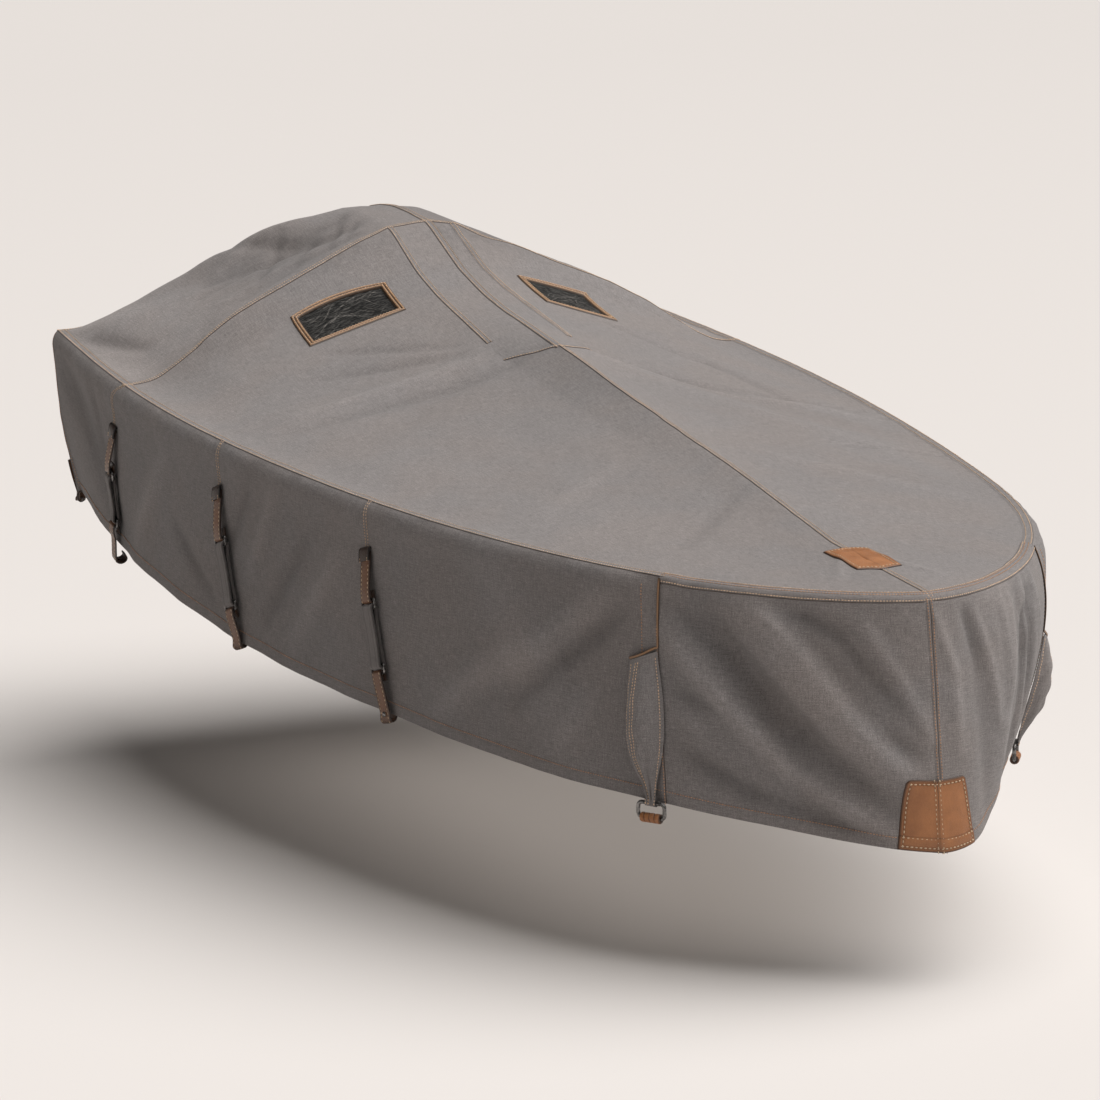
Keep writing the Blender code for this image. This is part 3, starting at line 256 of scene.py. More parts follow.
def at_run(where, run, places):
    """The places at distances along a line."""
    return np.stack([np.interp(where, run, places[:, k]) for k in range(3)], -1)


def near(value, reach):
    """From 1 at zero to nothing past the reach."""
    return np.exp(-(value / reach) ** 2)


def ramp(value, start, reach):
    """From 0 at the start to 1 a reach further on."""
    return np.clip((value - start) / reach, 0, 1)


def eased(share):
    """A share from 0 to 1 with a soft start and end."""
    return share * share * (3 - 2 * share)


def natural_spline(xs, ys):
    """A smooth curve through a few points, as a function of an array."""
    xs, ys = np.asarray(xs, float), np.asarray(ys, float)
    count = len(xs)
    step = np.diff(xs)
    system = np.eye(count)
    right = np.zeros(count)
    for i in range(1, count - 1):
        system[i, i - 1:i + 2] = step[i - 1], 2 * (step[i - 1] + step[i]), step[i]
        right[i] = 6 * ((ys[i + 1] - ys[i]) / step[i] - (ys[i] - ys[i - 1]) / step[i - 1])
    bend = np.linalg.solve(system, right)

    def value(x):
        i = np.clip(np.searchsorted(xs, x) - 1, 0, count - 2)
        h = step[i]
        left = (xs[i + 1] - x) / h
        rest = (x - xs[i]) / h
        cubic = ((left ** 3 - left) * bend[i] + (rest ** 3 - rest) * bend[i + 1]) * h * h / 6
        return left * ys[i] + rest * ys[i + 1] + cubic

    return value


def steady_curve(xs, ys):
    """A curve through the points that never swings past them, as a function of an array."""
    xs, ys = np.asarray(xs, float), np.asarray(ys, float)
    slope = np.diff(ys) / np.diff(xs)
    tangent = np.zeros(len(xs))
    tangent[0], tangent[-1] = slope[0], slope[-1]
    for i, (a, b) in enumerate(zip(slope, slope[1:]), 1):
        if a * b > 0:
            tangent[i] = 2 * a * b / (a + b)

    def value(x):
        x = np.clip(x, xs[0], xs[-1])
        i = np.clip(np.searchsorted(xs, x) - 1, 0, len(xs) - 2)
        h = xs[i + 1] - xs[i]
        t = (x - xs[i]) / h
        start = (1 + 2 * t) * (1 - t) ** 2 * ys[i] + t * (1 - t) ** 2 * h * tangent[i]
        end = t * t * (3 - 2 * t) * ys[i + 1] + t * t * (t - 1) * h * tangent[i + 1]
        return start + end

    return value


def station_of(aft):
    return math.asin(1 - aft / LENGTH) * 2 / math.pi


def aft_of(station):
    return LENGTH * (1 - np.sin(station * math.pi / 2))


RIM_CURVES = {name: natural_spline([row[0] for row in RIM], [row[i] for row in RIM])
              for i, name in enumerate(RIM_COLUMNS)}
DECK_STATIONS = [station_of(row[0]) for row in DECK]
DECK_CURVES = {name: steady_curve(DECK_STATIONS, [row[i] for row in DECK])
               for i, name in enumerate(DECK_COLUMNS)}
CROSS_SEAM = station_of(DECK[CROSS_ROW][0])
DECK_SEAM = station_of(DECK[SEAM_ROW][0])


def fold_height(folds, u, v):
    """The sum of the folds at each place, each a soft ridge or trough that fades at both ends."""
    total = np.zeros(np.broadcast(u, v).shape)
    for u1, v1, u2, v2, half_width, height in folds:
        du, dv = u2 - u1, v2 - v1
        length = math.hypot(du, dv)
        t = ((u - u1) * du + (v - v1) * dv) / length ** 2
        off = ((u - u1) * dv - (v - v1) * du) / length
        past = np.maximum(0.0, np.maximum(-t, t - 1)) * length
        fade = 0.55 + 0.45 * np.sin(math.pi * np.clip(t, 0, 1))
        total = total + height * near(off, half_width) * near(past, half_width) * fade
    return total


def waves(places, length, seed, count=14):
    """Uneven waves of about one length in all directions, between -1 and 1, the same on every run."""
    dice = np.random.default_rng(seed)
    total = np.zeros(len(places))
    for _ in range(count):
        way = unit(dice.normal(size=3))
        turns = 2 * math.pi / (length * dice.uniform(0.6, 1.6))
        total += np.sin(places @ way * turns + dice.uniform(0, 2 * math.pi))
    return total / math.sqrt(count) / 1.4


def deck_points(stations, qs, side):
    """The smooth deck on a grid of stations and lines: q is 0 at the centre and 1 at the rim."""
    station = np.asarray(stations)[:, None]
    q = np.asarray(qs)[None, :]
    deck = {name: curve(station) for name, curve in DECK_CURVES.items()}
    rim_rise = RIM_CURVES["rise"](station)
    half_beam = np.maximum(0.0, RIM_CURVES["half_beam"](station))
    knuckle = deck["knuckle"]
    across = np.where(q < Q_KNUCKLE, q / Q_KNUCKLE * knuckle,
                      knuckle + (q - Q_KNUCKLE) / (1 - Q_KNUCKLE) * (1 - knuckle))
    x = BOW_X - aft_of(station) + deck["lead"] * (1 - across) ** (2 - station ** 3)
    y = side * half_beam * across + deck["stray"] * (1 - across) ** STRAY_FADE
    crown = deck["crown_starboard" if side < 0 else "crown_port"]
    s = (1 - across) / (1 - knuckle)
    shelf = 1 - near(s, deck["shelf"])
    slope = rim_rise + (deck["ridge"] - deck["shed"] - rim_rise) * (s + crown * 4 * s * (1 - s)) * shelf
    rise = np.where(across <= knuckle, deck["ridge"] - deck["shed"] * across / knuckle, slope)
    rise = rise + np.minimum(1.0, 4 * (1 - across)) * fold_height(DECK_FOLDS, BOW_X - x, y)
    return np.stack([x, y, BOW_RIM_Z + rise], 2), across


def even(start, end, step):
    count = max(1, round((end - start) / step))
    return [start + (end - start) * i / count for i in range(count)]


def nearest(values, mark):
    return int(np.argmin(np.abs(np.asarray(values) - mark)))


def quads_of(ids):
    """The four corners of every cell of a grid."""
    return np.stack([ids[:-1, :-1], ids[1:, :-1], ids[1:, 1:], ids[:-1, 1:]], 2)


def stations_at(cell):
    """Stations an even length of rim apart, with one on each seam."""
    fine = np.linspace(0, 1, 4001)
    run = run_of(np.stack([-aft_of(fine), RIM_CURVES["half_beam"](fine), RIM_CURVES["rise"](fine)], 1))
    marks = [0.0, CROSS_SEAM, DECK_SEAM, PLEAT, 1.0]
    found = []
    for ends in zip(marks, marks[1:]):
        found += list(np.interp(even(*np.interp(ends, fine, run), cell), run, fine))
    for mark in marks[1:-1]:
        found[nearest(found, mark)] = mark
    return np.array(found + [1.0])


HEAD_DEPTHS = (0.0, 0.0025, 0.006, 0.011, 0.018, 0.027)
FOOT_HEIGHTS = (0.040, 0.034, 0.029, 0.026, 0.023, 0.014, 0.006, 0.0018, 0.0)
HEM = 0.025               # from the hem's edge to its stitches
HEM_SWELL = 0.0010        # how much the doubled cloth stands out
ROUND_RADIUS = 0.020      # of the rim under the bow's band
ROUND_FADE = 0.05
VENT_MIDDLE = (2.35, 0.27)        # the cloth lies calm about a vent: its middle behind the bow and across
VENT_CALM = (0.115, 0.155)
SHOULDER_OUT = 0.020      # how far the skirt would stand out over the rim's shoulder
SHOULDER_TURN = 0.020     # the depth in which it turns down
SHOULDER_FADE = 0.060     # the depth in which it comes back


class Cloth:
    """The whole cloth as one fine skin. The smooth points follow the part's solids; the dressed ones have
    the fine creases, puckers and rounded edges as well."""

    def __init__(self, cell):
        self.stations = stations_at(cell)
        step = cell / WIDEST
        self.lines = np.array(even(0.0, Q_KNUCKLE, step) + even(Q_KNUCKLE, 1.0, step) + [1.0])
        self.last = len(self.stations) - 1
        self.edge = len(self.lines) - 1
        self.at_cross = nearest(self.stations, CROSS_SEAM)
        self.at_deck_seam = nearest(self.stations, DECK_SEAM)
        self.at_pleat = nearest(self.stations, PLEAT)
        self.knuckle = nearest(self.lines, Q_KNUCKLE)
        self.lay_deck()
        self.lay_skirt(cell)
        self.cut()
        self.smooth = self.points.copy()
        self.smooth_normals = self.find_normals()
        self.dress()
        self.round_bow_rim()
        self.normals = self.find_normals()
        self.points += PART_SHIFT
        self.smooth += PART_SHIFT
        faces = np.concatenate(list(self.panels.values()))
        self.tree = BVHTree.FromPolygons(self.points.tolist(), faces.tolist())

    def lay_deck(self):
        rows, columns = self.last + 1, self.edge + 1
        starboard = np.arange(rows * columns).reshape(rows, columns)
        port = starboard.copy()
        port[:-1, 1:] = np.arange(self.last * self.edge).reshape(self.last, self.edge) + rows * columns
        self.deck = {-1: starboard, 1: port}
        self.points = np.zeros((port.max() + 1, 3))
        self.across = np.zeros(len(self.points))
        for side in (1, -1):
            places, across = deck_points(self.stations, self.lines, side)
            self.points[self.deck[side]] = places
            self.across[self.deck[side]] = across
        self.uv = np.stack([-self.points[:, 0], self.points[:, 1]], 1)
        profile = self.points[np.concatenate([starboard[:, 0], starboard[-1, 1:]])]
        order = np.argsort(profile[:, 0])
        self.uv[:, 0] = np.interp(self.points[:, 0], profile[order, 0], run_of(profile)[order])

    def lay_skirt(self, cell):
        """Columns run from the starboard stern corner round the bow, then along the transom."""
        starboard, port = self.deck[-1], self.deck[1]
        rim = np.concatenate([starboard[:-1, self.edge], port[::-1, self.edge]])
        sides = self.side_columns = len(rim)
        rim = self.rim = np.concatenate([rim, port[0, self.edge - 1:0:-1], starboard[0, :self.edge]])
        stations = np.concatenate([self.stations[:-1], self.stations[::-1], np.zeros(len(rim) - sides)])
        places = self.points[rim]
        steps = np.linalg.norm(np.diff(places, axis=0, append=places[:1]), axis=1)
        self.along = np.concatenate([[0], np.cumsum(steps)[:-1]])
        self.along -= self.along[self.last]
        self.girth = float(steps.sum())
        self.pleat_along = abs(self.along[self.at_pleat])
        chord = self.rim_at(self.along + CORNER_REACH) - self.rim_at(self.along - CORNER_REACH)
        outward = unit(np.stack([chord[:, 1], -chord[:, 0]], 1))
        on_port = np.arange(len(rim)) > self.last
        blend = eased(ramp(places[:, 1], -0.16, 0.32))[sides:]

        def by_column(what):
            both = [RIM_CURVES[f"{what}_{name}"] for name in ("starboard", "port")]
            values = np.where(on_port, both[1](stations), both[0](stations))
            ends = [float(curve(0.0)) for curve in both]
            values[sides:] = ends[0] + (ends[1] - ends[0]) * blend
            return values

        drop, swell, tuck = (by_column(what) for what in ("drop", "swell", "tuck"))
        self.drops = drop
        top = HEAD_DEPTHS[-1]
        middle_rows = round((drop.mean() - top - FOOT_HEIGHTS[0]) / cell)
        foot = drop[:, None] - np.array(FOOT_HEIGHTS)[None, :]
        middle = top + (foot[:, :1] - top) * (np.arange(1, middle_rows) / middle_rows)[None, :]
        self.depths = np.concatenate([np.tile(HEAD_DEPTHS, (len(rim), 1)), middle, foot], 1)
        v = self.depths / drop[:, None]
        out = swell[:, None] * (1 - (1 - v) ** SHOULDER) + tuck[:, None] * v * v
        out = out + np.minimum(1.0, 8 * v) * fold_height(SKIRT_FOLDS, self.along[:, None], self.depths)
        grid = np.repeat(places[:, None, :], v.shape[1], axis=1)
        grid[:, :, :2] += outward[:, None, :] * out[:, :, None]
        grid[:, :, 1] += BOW_SEAM_LEAN * v * near(self.along, LEAN_REACH)[:, None]
        for side in (-1, 1):
            lean = side * PLEAT_LEAN * v * near(self.along - side * self.pleat_along, PLEAT_REACH)[:, None]
            grid[:, :, 0] += lean * outward[:, 1][:, None]
            grid[:, :, 1] -= lean * outward[:, 0][:, None]
        grid[:, :, 2] -= self.depths
        fresh = np.arange(len(rim) * (v.shape[1] - 1)).reshape(len(rim), -1) + len(self.points)
        self.skirt = np.concatenate([rim[:, None], fresh], 1)
        self.points = np.concatenate([self.points, grid[:, 1:].reshape(-1, 3)])
        self.across = np.concatenate([self.across, np.full(fresh.size, 2.0)])
        self.skirt_uv = np.stack([np.repeat(self.along[:, None], v.shape[1], 1), -self.depths], 2)

    def rim_at(self, along):
        """The rim's places in plan at distances from the bow, round and round."""
        start = self.along[0]
        places = np.append(self.along, start + self.girth)
        wrapped = (np.asarray(along) - start) % self.girth + start
        ring = np.append(self.rim, self.rim[0])
        return np.stack([np.interp(wrapped, places, self.points[ring, axis]) for axis in (0, 1)], 1)

    def cut(self):
        """The faces of each panel, facing out."""
        self.panels = {}
        for side, name in SIDES.items():
            ids = self.deck[side]
            quads = quads_of(ids)
            if side < 0:
                quads = quads[:, :, ::-1]
            hood = quads[self.at_cross:self.at_deck_seam]
            self.panels["stern_panel_" + name] = quads[:self.at_cross].reshape(-1, 4)
            self.panels["hood_gusset_" + name] = hood[:, :self.knuckle].reshape(-1, 4)
            self.panels["deck_panel_" + name] = np.concatenate(
                [hood[:, self.knuckle:].reshape(-1, 4), quads[self.at_deck_seam:].reshape(-1, 4)])
        beside = np.roll(self.skirt, -1, axis=0)
        quads = np.stack([self.skirt[:, :-1], self.skirt[:, 1:], beside[:, 1:], beside[:, :-1]], 2)
        last_side = self.side_columns - 1
        marks = (0, self.at_pleat, self.last, last_side - self.at_pleat, last_side, len(self.rim))
        names = ("side_panel_starboard", "bow_panel_starboard", "bow_panel_port", "side_panel_port",
                 "transom_panel")
        for name, start, end in zip(names, marks, marks[1:]):
            self.panels[name] = quads[start:end].reshape(-1, 4)

    def find_normals(self):
        normals = np.zeros_like(self.points)
        for faces in self.panels.values():
            a, b, c, d = (self.points[faces[:, k]] for k in range(4))
            facing = np.cross(c - a, d - b)
            facing /= np.maximum(np.linalg.norm(facing, axis=1), 1e-12)[:, None]
            for k in range(4):
                np.add.at(normals, faces[:, k], facing)
        return unit(normals)

    def dress(self):
        """The fine creases, the rumpling, the puckers along the seams, the doubled hem, and painted light and
        shade on the folds.
        """
        height = 0.0011 * waves(self.points, 0.16, 3) + 0.0005 * waves(self.points, 0.055, 8)
        on_deck = self.across <= 1.0
        aft = BOW_X - self.points[:, 0]
        side = self.points[:, 1]
        from_rim = (1 - self.across) * np.maximum(0.05, np.abs(side) / np.maximum(self.across, 0.05))
        held = ramp(from_rim, 0, 0.03)
        creases = fold_height(DECK_CREASES, aft, side)
        pucker = 0.0016 * waves(self.points, 0.045, 21) * np.exp(-from_rim / 0.028) * ramp(from_rim, 0, 0.008)
        pucker *= ramp(aft, 0.5, 0.4)
        from_seam = np.zeros(len(self.points))
        off = np.abs(self.stations - self.stations[self.at_cross])[:, None] * LENGTH
        for ids in self.deck.values():
            from_seam[ids] = np.broadcast_to(off, ids.shape)
        beside_seam = np.exp(-from_seam / 0.03) * ramp(from_seam, 0, 0.008)
        pucker += 0.0011 * waves(self.points, 0.05, 34) * beside_seam
        beside_vent = np.maximum(np.abs(aft - VENT_MIDDLE[0]) / VENT_CALM[0],
                                 np.abs(np.abs(side) - VENT_MIDDLE[1]) / VENT_CALM[1])
        free = np.clip((beside_vent - 0.8) / 0.5, 0.05, 1)
        height = np.where(on_deck, ((height + creases) * held + pucker) * free, height)
        # painted light and shade: lighter on the ridges of the deck's creases and folds, darker in their
        # troughs
        faded = (creases / 0.014 + fold_height(DECK_FOLDS, aft, side) / 0.05) * held * free
        # painted shade on the starboard side of the ridge and painted light on its port side, on the foredeck
        faded += np.where(side < 0, -0.35, 0.12) * near(side, 0.16) * (1 - ramp(aft, 1.8, 0.05))
        # painted light and shade over the stern: lighter near the rim, darker between the rim and the centre
        crown = near(np.abs(side) - 0.62, 0.14) - 0.85 * near(np.abs(side) - 0.28, 0.16)
        faded += crown * ramp(aft, 2.5, 0.08)
        self.faded = np.where(on_deck, faded, 0.0)

        skirt = self.skirt
        along = self.skirt_uv[:, :, 0]
        depth = self.depths
        from_hem = self.drops[:, None] - depth
        past_pleat = np.abs(along) - self.pleat_along
        held = ramp(depth, 0, 0.05)
        calm = np.ones_like(depth)
        for edge in (-1, 1):
            calm *= 1 - 0.8 * near(along - edge * (self.pleat_along + 0.02), 0.07)
        creases = fold_height(SKIRT_CREASES, along, depth) * held
        # painted light and shade on the skirt's folds, and painted shade on the side panels past the pleats
        # and on the port bow panel's aft part
        worn = (creases / 0.009 + fold_height(SKIRT_FOLDS, along, depth) / 0.016) * held * calm
        worn -= 0.35 * ramp(past_pleat, 0, 0.05) + 0.4 * ramp(along, 0.12, 0.15) * (along < self.pleat_along)
        self.faded[skirt[:, 1:]] = np.clip(worn, -1, 1)[:, 1:]
        near_rim = np.exp(-depth / 0.034) * ramp(depth, 0, 0.012)
        own = height[skirt] * held + creases
        own += 0.0024 * waves(self.points[skirt].reshape(-1, 3), 0.075, 55).reshape(depth.shape) * near_rim
        own *= calm
        for at, _, _ in strap_places(self):
            away = np.abs(along - at)
            gather = near(away, 0.045) * np.exp(-depth / 0.050) * ramp(depth, 0, 0.006)
            own += 0.0024 * np.cos(away * 2 * math.pi / (0.024 + 0.10 * depth)) * gather
        slack = 0.0022 * np.sin(along * 2 * math.pi / 0.31 + 1.3 * np.sin(along * 3.1))
        own += slack * np.clip(1 - from_hem / 0.10, 0, 1) * calm
        own += HEM_SWELL * np.clip((HEM + 0.002 - from_hem) / 0.003, 0, 1)
        own += (SHOULDER_OUT * (1 - np.exp(-depth / SHOULDER_TURN)) * near(depth, SHOULDER_FADE)
                * eased(ramp(past_pleat, 0, 0.08)))
        height[skirt[:, 1:]] = own[:, 1:]
        height[self.rim] = 0.0
        self.points = self.points + self.smooth_normals * height[:, None]

    def round_bow_rim(self):
        """Ease the rim over a soft edge from pleat to pleat, where the band is folded over it."""
        last_side = self.side_columns - 1
        moved = {}
        for column in range(self.at_pleat, last_side - self.at_pleat + 1):
            radius = ROUND_RADIUS * eased(ramp(self.pleat_along, abs(self.along[column]), ROUND_FADE))
            if radius < 0.001:
                continue
            row = min(column, last_side - column)
            lines = (self.deck[-1 if column < self.last else 1][row, ::-1][:40], self.skirt[column])
            runs = [run_of(self.points[line]) for line in lines]
            start, end = (at_run(radius, run, self.points[line]) for line, run in zip(lines, runs))
            corner = self.points[lines[1][0]]
            for line, run, sign in zip(lines, runs, (-1, 1)):
                for i, s in zip(line, run):
                    if s < radius:
                        t = (sign * s + radius) / (2 * radius)
                        moved[i] = (1 - t) ** 2 * start + 2 * t * (1 - t) * corner + t * t * end
        for i, place in moved.items():
            self.points[i] = place

    # -- places on the cloth --
    def on_skirt(self, along, depth, out):
        """A place on the smooth skirt, raised outwards; below the hem it carries on straight down."""
        places = np.append(self.along, self.along[0] + self.girth)
        along = (along - places[0]) % self.girth + places[0]
        left = int(np.clip(np.searchsorted(places, along, side="right") - 1, 0, len(self.rim) - 1))
        right = (left + 1) % len(self.rim)
        t = (along - places[left]) / (places[left + 1] - places[left])
        point = np.zeros(3)
        normal = np.zeros(3)
        spill = 0.0
        for column, share in ((left, 1 - t), (right, t)):
            drop = self.drops[column]
            below = min(depth, drop)
            spill += share * (depth - below)
            row = int(np.clip(np.searchsorted(self.depths[column], below, side="right") - 1, 0,
                              self.depths.shape[1] - 2))
            low, high = self.depths[column, row:row + 2]
            s = (below - low) / (high - low)
            for which, part in ((row, 1 - s), (row + 1, s)):
                i = self.skirt[column, which]
                point += self.smooth[i] * share * part
                normal += self.smooth_normals[i] * share * part
        point[2] -= spill
        normal[2] *= min(1.0, depth / 0.06) * 0.3
        normal /= np.linalg.norm(normal)
        return point + normal * out

    def along_of(self, station):
        """The starboard rim's distance from the bow at a station, negative."""
        return float(np.interp(station, self.stations, self.along[:self.last + 1]))

    def drop_at(self, along):
        return float(np.interp(along, self.along[:self.side_columns], self.drops[:self.side_columns]))

    def cast(self, place, way, reach=0.03):
        """Where a ray along a way meets the dressed cloth, from a reach before the place."""
        way = Vector(way).normalized()
        hit, normal, _, _ = self.tree.ray_cast(Vector(place) - way * reach, way, reach * 2.5)
        if hit is None:
            hit, normal, _, _ = self.tree.find_nearest(Vector(place))
        if normal @ way > 0:
            normal = -normal
        return np.array(hit), np.array(normal)

    def over_deck(self, aft, across, height):
        """A place over the dressed deck, by its distances behind the bow and from the centre."""
        x = BOW_X - aft + PART_SHIFT[0]
        y = across + PART_SHIFT[1]
        step = 0.006

        def under(dx, dy):
            return self.tree.ray_cast((x + dx, y + dy, 2.0), (0, 0, -1))[0]

        slope_x = (under(step, 0).z - under(-step, 0).z) / (2 * step)
        slope_y = (under(0, step).z - under(0, -step).z) / (2 * step)
        normal = unit(np.array([-slope_x, -slope_y, 1.0]))
        return np.array(under(0, 0)) + normal * height, normal


# straps: name, station, lean to the bow over its length, and how far the tail hangs below the hem
STRAPS = (("aft", 0.1108, -0.10, 0.040), ("mid", 0.2493, 0.37, 0.021), ("fore", 0.4061, 0.29, 0.021))
TAB_DEPTH = 0.112
STRAP_ROW_SHIFT = -0.006  # how far bow-ward the rows over a strap start at the rim


def strap_places(cloth):
    """Each strap's place along the rim, with its name and its row of the table."""
    return [(way * cloth.along_of(row[1]), f"strap_{row[0]}_{side}", row)
            for row in STRAPS for way, side in ((1, "starboard"), (-1, "port"))]


@lru_cache(maxsize=1)
def the_cloth():
    return Cloth(bpy.context.scene.boat_cover.cell)


# ---- materials ---------------------------------------------------------------------------------
def with_settings(thing, **settings):
    """The thing, with its attributes set."""
    for key, value in settings.items():
        setattr(thing, key, value)
    return thing


class Nodes:
    """A node tree, with short calls for adding a node and feeding a socket."""

    def __init__(self, tree):
        self.tree = tree

    def add(self, kind, sockets=None, **settings):
        node = with_settings(self.tree.nodes.new(kind), **settings)
        for key, value in (sockets or {}).items():
            self.feed(node.inputs[key], value)
        return node

    def feed(self, socket, value):
        if isinstance(value, bpy.types.NodeSocket):
            self.tree.links.new(value, socket)
        else:
            socket.default_value = value


class Finish(Nodes):
    """A material's node tree, with short calls for the nodes that it uses."""

    def __init__(self, name, constants):
        old = bpy.data.materials.get(name)
        if old:
            bpy.data.materials.remove(old)
        self.material = bpy.data.materials.new(name)
        self.material.use_nodes = True
        super().__init__(self.material.node_tree)
        self.shader = self.tree.nodes["Principled BSDF"]
        for key, value in constants.items():
            self.shader.inputs[key].default_value = value

    def maths(self, operation, a, b=0.0):
        return self.add("ShaderNodeMath", {0: a, 1: b}, operation=operation).outputs[0]

    def times(self, *values):
        return reduce(lambda a, b: self.maths("MULTIPLY", a, b), values)

    def plus(self, a, b):
        return self.maths("ADD", a, b)

    def ripples(self, value, pitch):
        return self.maths("SINE", self.times(value, 2 * math.pi / pitch))

    def split(self, vector):
        return self.add("ShaderNodeSeparateXYZ", {0: vector}).outputs

    def objects(self):
        return self.add("ShaderNodeTexCoord").outputs["Object"]

    def lengths(self):
        """The piece's own layout in metres."""
        return self.add("ShaderNodeUVMap", uv_map="Lay").outputs["UV"]

    def value(self, name):
        return self.add("ShaderNodeAttribute", attribute_name=name).outputs["Fac"]

    def noise(self, vector, scale, detail=2.0, roughness=0.5):
        return self.add("ShaderNodeTexNoise", {"Vector": vector, "Scale": scale, "Detail": detail,
                                               "Roughness": roughness}).outputs[0]

    def streaks(self, vector, scale, detail=2.0, turn=0.0):
        """Noise of a different fineness in each direction."""
        stretched = self.add("ShaderNodeMapping", {"Vector": vector, "Scale": scale,
                                                   "Rotation": (0.0, 0.0, turn)}).outputs[0]
        return self.noise(stretched, 1.0, detail)

    def fit(self, value, low, high, to_low=0.0, to_high=1.0):
        return self.add("ShaderNodeMapRange", {"Value": value, "From Min": low, "From Max": high,
                                               "To Min": to_low, "To Max": to_high}).outputs[0]

    def blend(self, factor, a, b, kind="MIX"):
        node = self.add("ShaderNodeMix", data_type="RGBA", blend_type=kind)
        for socket, value in zip((0, 6, 7), (factor, a, b)):
            self.feed(node.inputs[socket], (*value, 1.0) if isinstance(value, tuple) else value)
        return node.outputs[2]

    def shade(self, colour, factor):
        """The colour times a grey factor."""
        grey = self.add("ShaderNodeCombineColor", {0: factor, 1: factor, 2: factor}).outputs[0]
        return self.blend(1.0, colour, grey, "MULTIPLY")

    def bump(self, height, distance, strength=1.0):
        node = self.add("ShaderNodeBump", {"Height": height, "Distance": distance, "Strength": strength})
        self.feed(self.shader.inputs["Normal"], node.outputs[0])

    def colour(self, socket):
        self.feed(self.shader.inputs["Base Color"], socket)

    def roughness(self, socket):
        self.feed(self.shader.inputs["Roughness"], socket)


def toned(colour, factors):
    """The colour times a factor, or times one for each channel."""
    factors = factors if isinstance(factors, tuple) else (factors,) * 3
    return tuple(c * f for c, f in zip(colour, factors))


def weave(finish, layout, pitch):
    """A plain weave, from 0 in its gaps to 1 on its threads."""
    across, along, _ = finish.split(layout)
    return finish.fit(finish.times(finish.ripples(across, pitch), finish.ripples(along, pitch)), -1.0, 1.0)


def canvas_finish(settings, name="Canvas", tone=1.0):
    finish = Finish(name, {"Roughness": 0.9, "Sheen Weight": 0.12, "Sheen Roughness": 0.55,
                           "Specular IOR Level": 0.25})
    places, layout = finish.objects(), finish.lengths()
    warm = toned(settings.canvas_colour, tone)
    patches = finish.fit(finish.noise(places, 5.0, 3.0), 0.40, 0.60)
    colour = finish.blend(patches, warm, toned(warm, (0.965, 0.99, 1.01)))
    slubs = [finish.streaks(layout, scale) for scale in ((50.0, 460.0, 1.0), (460.0, 50.0, 1.0))]
    threads = weave(finish, layout, settings.weave_pitch)
    factors = [finish.fit(value, 0.25, 0.75, 1 - swing, 1 + swing) for value, swing in (
        (finish.noise(places, 2.2), 0.04),
        (finish.streaks(layout, (90.0, 140.0, 1.0)), 0.045),
        (slubs[0], 0.16),
        (slubs[1], 0.16),
        (finish.streaks(layout, (430.0, 430.0, 1.0), 1.0), 0.26),
        (finish.streaks(layout, (22.0, 240.0, 1.0)), 0.08),
        (finish.streaks(layout, (240.0, 22.0, 1.0)), 0.07))]
    # painted light and shade from the cloth's mark: from 0.74 to 1.26 times as bright
    factors += [finish.fit(threads, 0.0, 1.0, 0.90, 1.10),
                finish.fit(finish.value("faded"), -1.0, 1.0, 0.74, 1.26)]
    colour = finish.shade(colour, finish.times(*factors))
    # dark dirt and painted shadow lines where the mark is set, along the seams' crisp edges
    finish.colour(finish.blend(finish.value("grime"), colour, (0.045, 0.026, 0.016)))
    relief = finish.plus(finish.times(finish.plus(*slubs), 0.7), finish.times(threads, 0.35))
    crush = finish.noise(places, 26.0, 3.0, 0.55)
    finish.bump(finish.plus(relief, finish.times(crush, 1.6)), 0.0008, 0.5)


def leather_finish(name, colour, tone=1.0):
    finish = Finish(name, {"Roughness": 0.45, "Coat Weight": 0.14, "Coat Roughness": 0.32})
    places = finish.objects()
    base = toned(colour, tone)
    light = toned(base, (1.28, 1.32, 1.35))
    cloudy = finish.fit(finish.noise(places, 26.0, 4.0, 0.6), 0.35, 0.68)
    scuffs = finish.fit(finish.streaks(places, (150.0, 150.0, 60.0), 3.0), 0.56, 0.74)
    colour = finish.blend(finish.times(scuffs, 0.35), finish.blend(cloudy, base, light), light)
    grain = finish.add("ShaderNodeTexVoronoi", {"Vector": places, "Scale": 520.0},
                       feature="DISTANCE_TO_EDGE").outputs["Distance"]
    pores = finish.fit(grain, 0.0, 0.18)
    colour = finish.shade(colour, finish.fit(pores, 0.0, 1.0, 0.86, 1.03))
    # darker where the mark is set: burnished edges and wear, and painted shade in grooves, under folds and on
    # rounded edges
    finish.colour(finish.blend(finish.value("grime"), colour, toned(base, 0.16)))
    finish.roughness(finish.fit(cloudy, 0.0, 1.0, 0.38, 0.54))
    finish.bump(finish.plus(finish.times(pores, 0.5), finish.noise(places, 90.0, 3.0)), 0.0008, 0.6)


def webbing_finish(settings):
    finish = Finish("Webbing", {"Roughness": 0.85, "Sheen Weight": 0.15})
    layout = finish.lengths()
    base = toned(settings.canvas_colour, 0.80)
    across, along, _ = finish.split(layout)
    ribs = finish.fit(finish.ripples(along, 0.0034), -1.0, 1.0)
    picks = finish.ripples(across, 0.0022)
    fibres = finish.streaks(layout, (60.0, 900.0, 1.0))
    factor = finish.times(finish.fit(ribs, 0.0, 1.0, 0.70, 1.15), finish.fit(fibres, 0.3, 0.7, 0.80, 1.25))
    colour = finish.shade(finish.blend(fibres, base, toned(base, 1.1)), factor)
    # darker where the mark is set: painted shade at the leaf's rounded edges and stitched grooves
    finish.colour(finish.blend(finish.value("grime"), colour, (0.016, 0.013, 0.011)))
    finish.bump(finish.plus(ribs, finish.times(picks, 0.25)), 0.0005, 0.8)


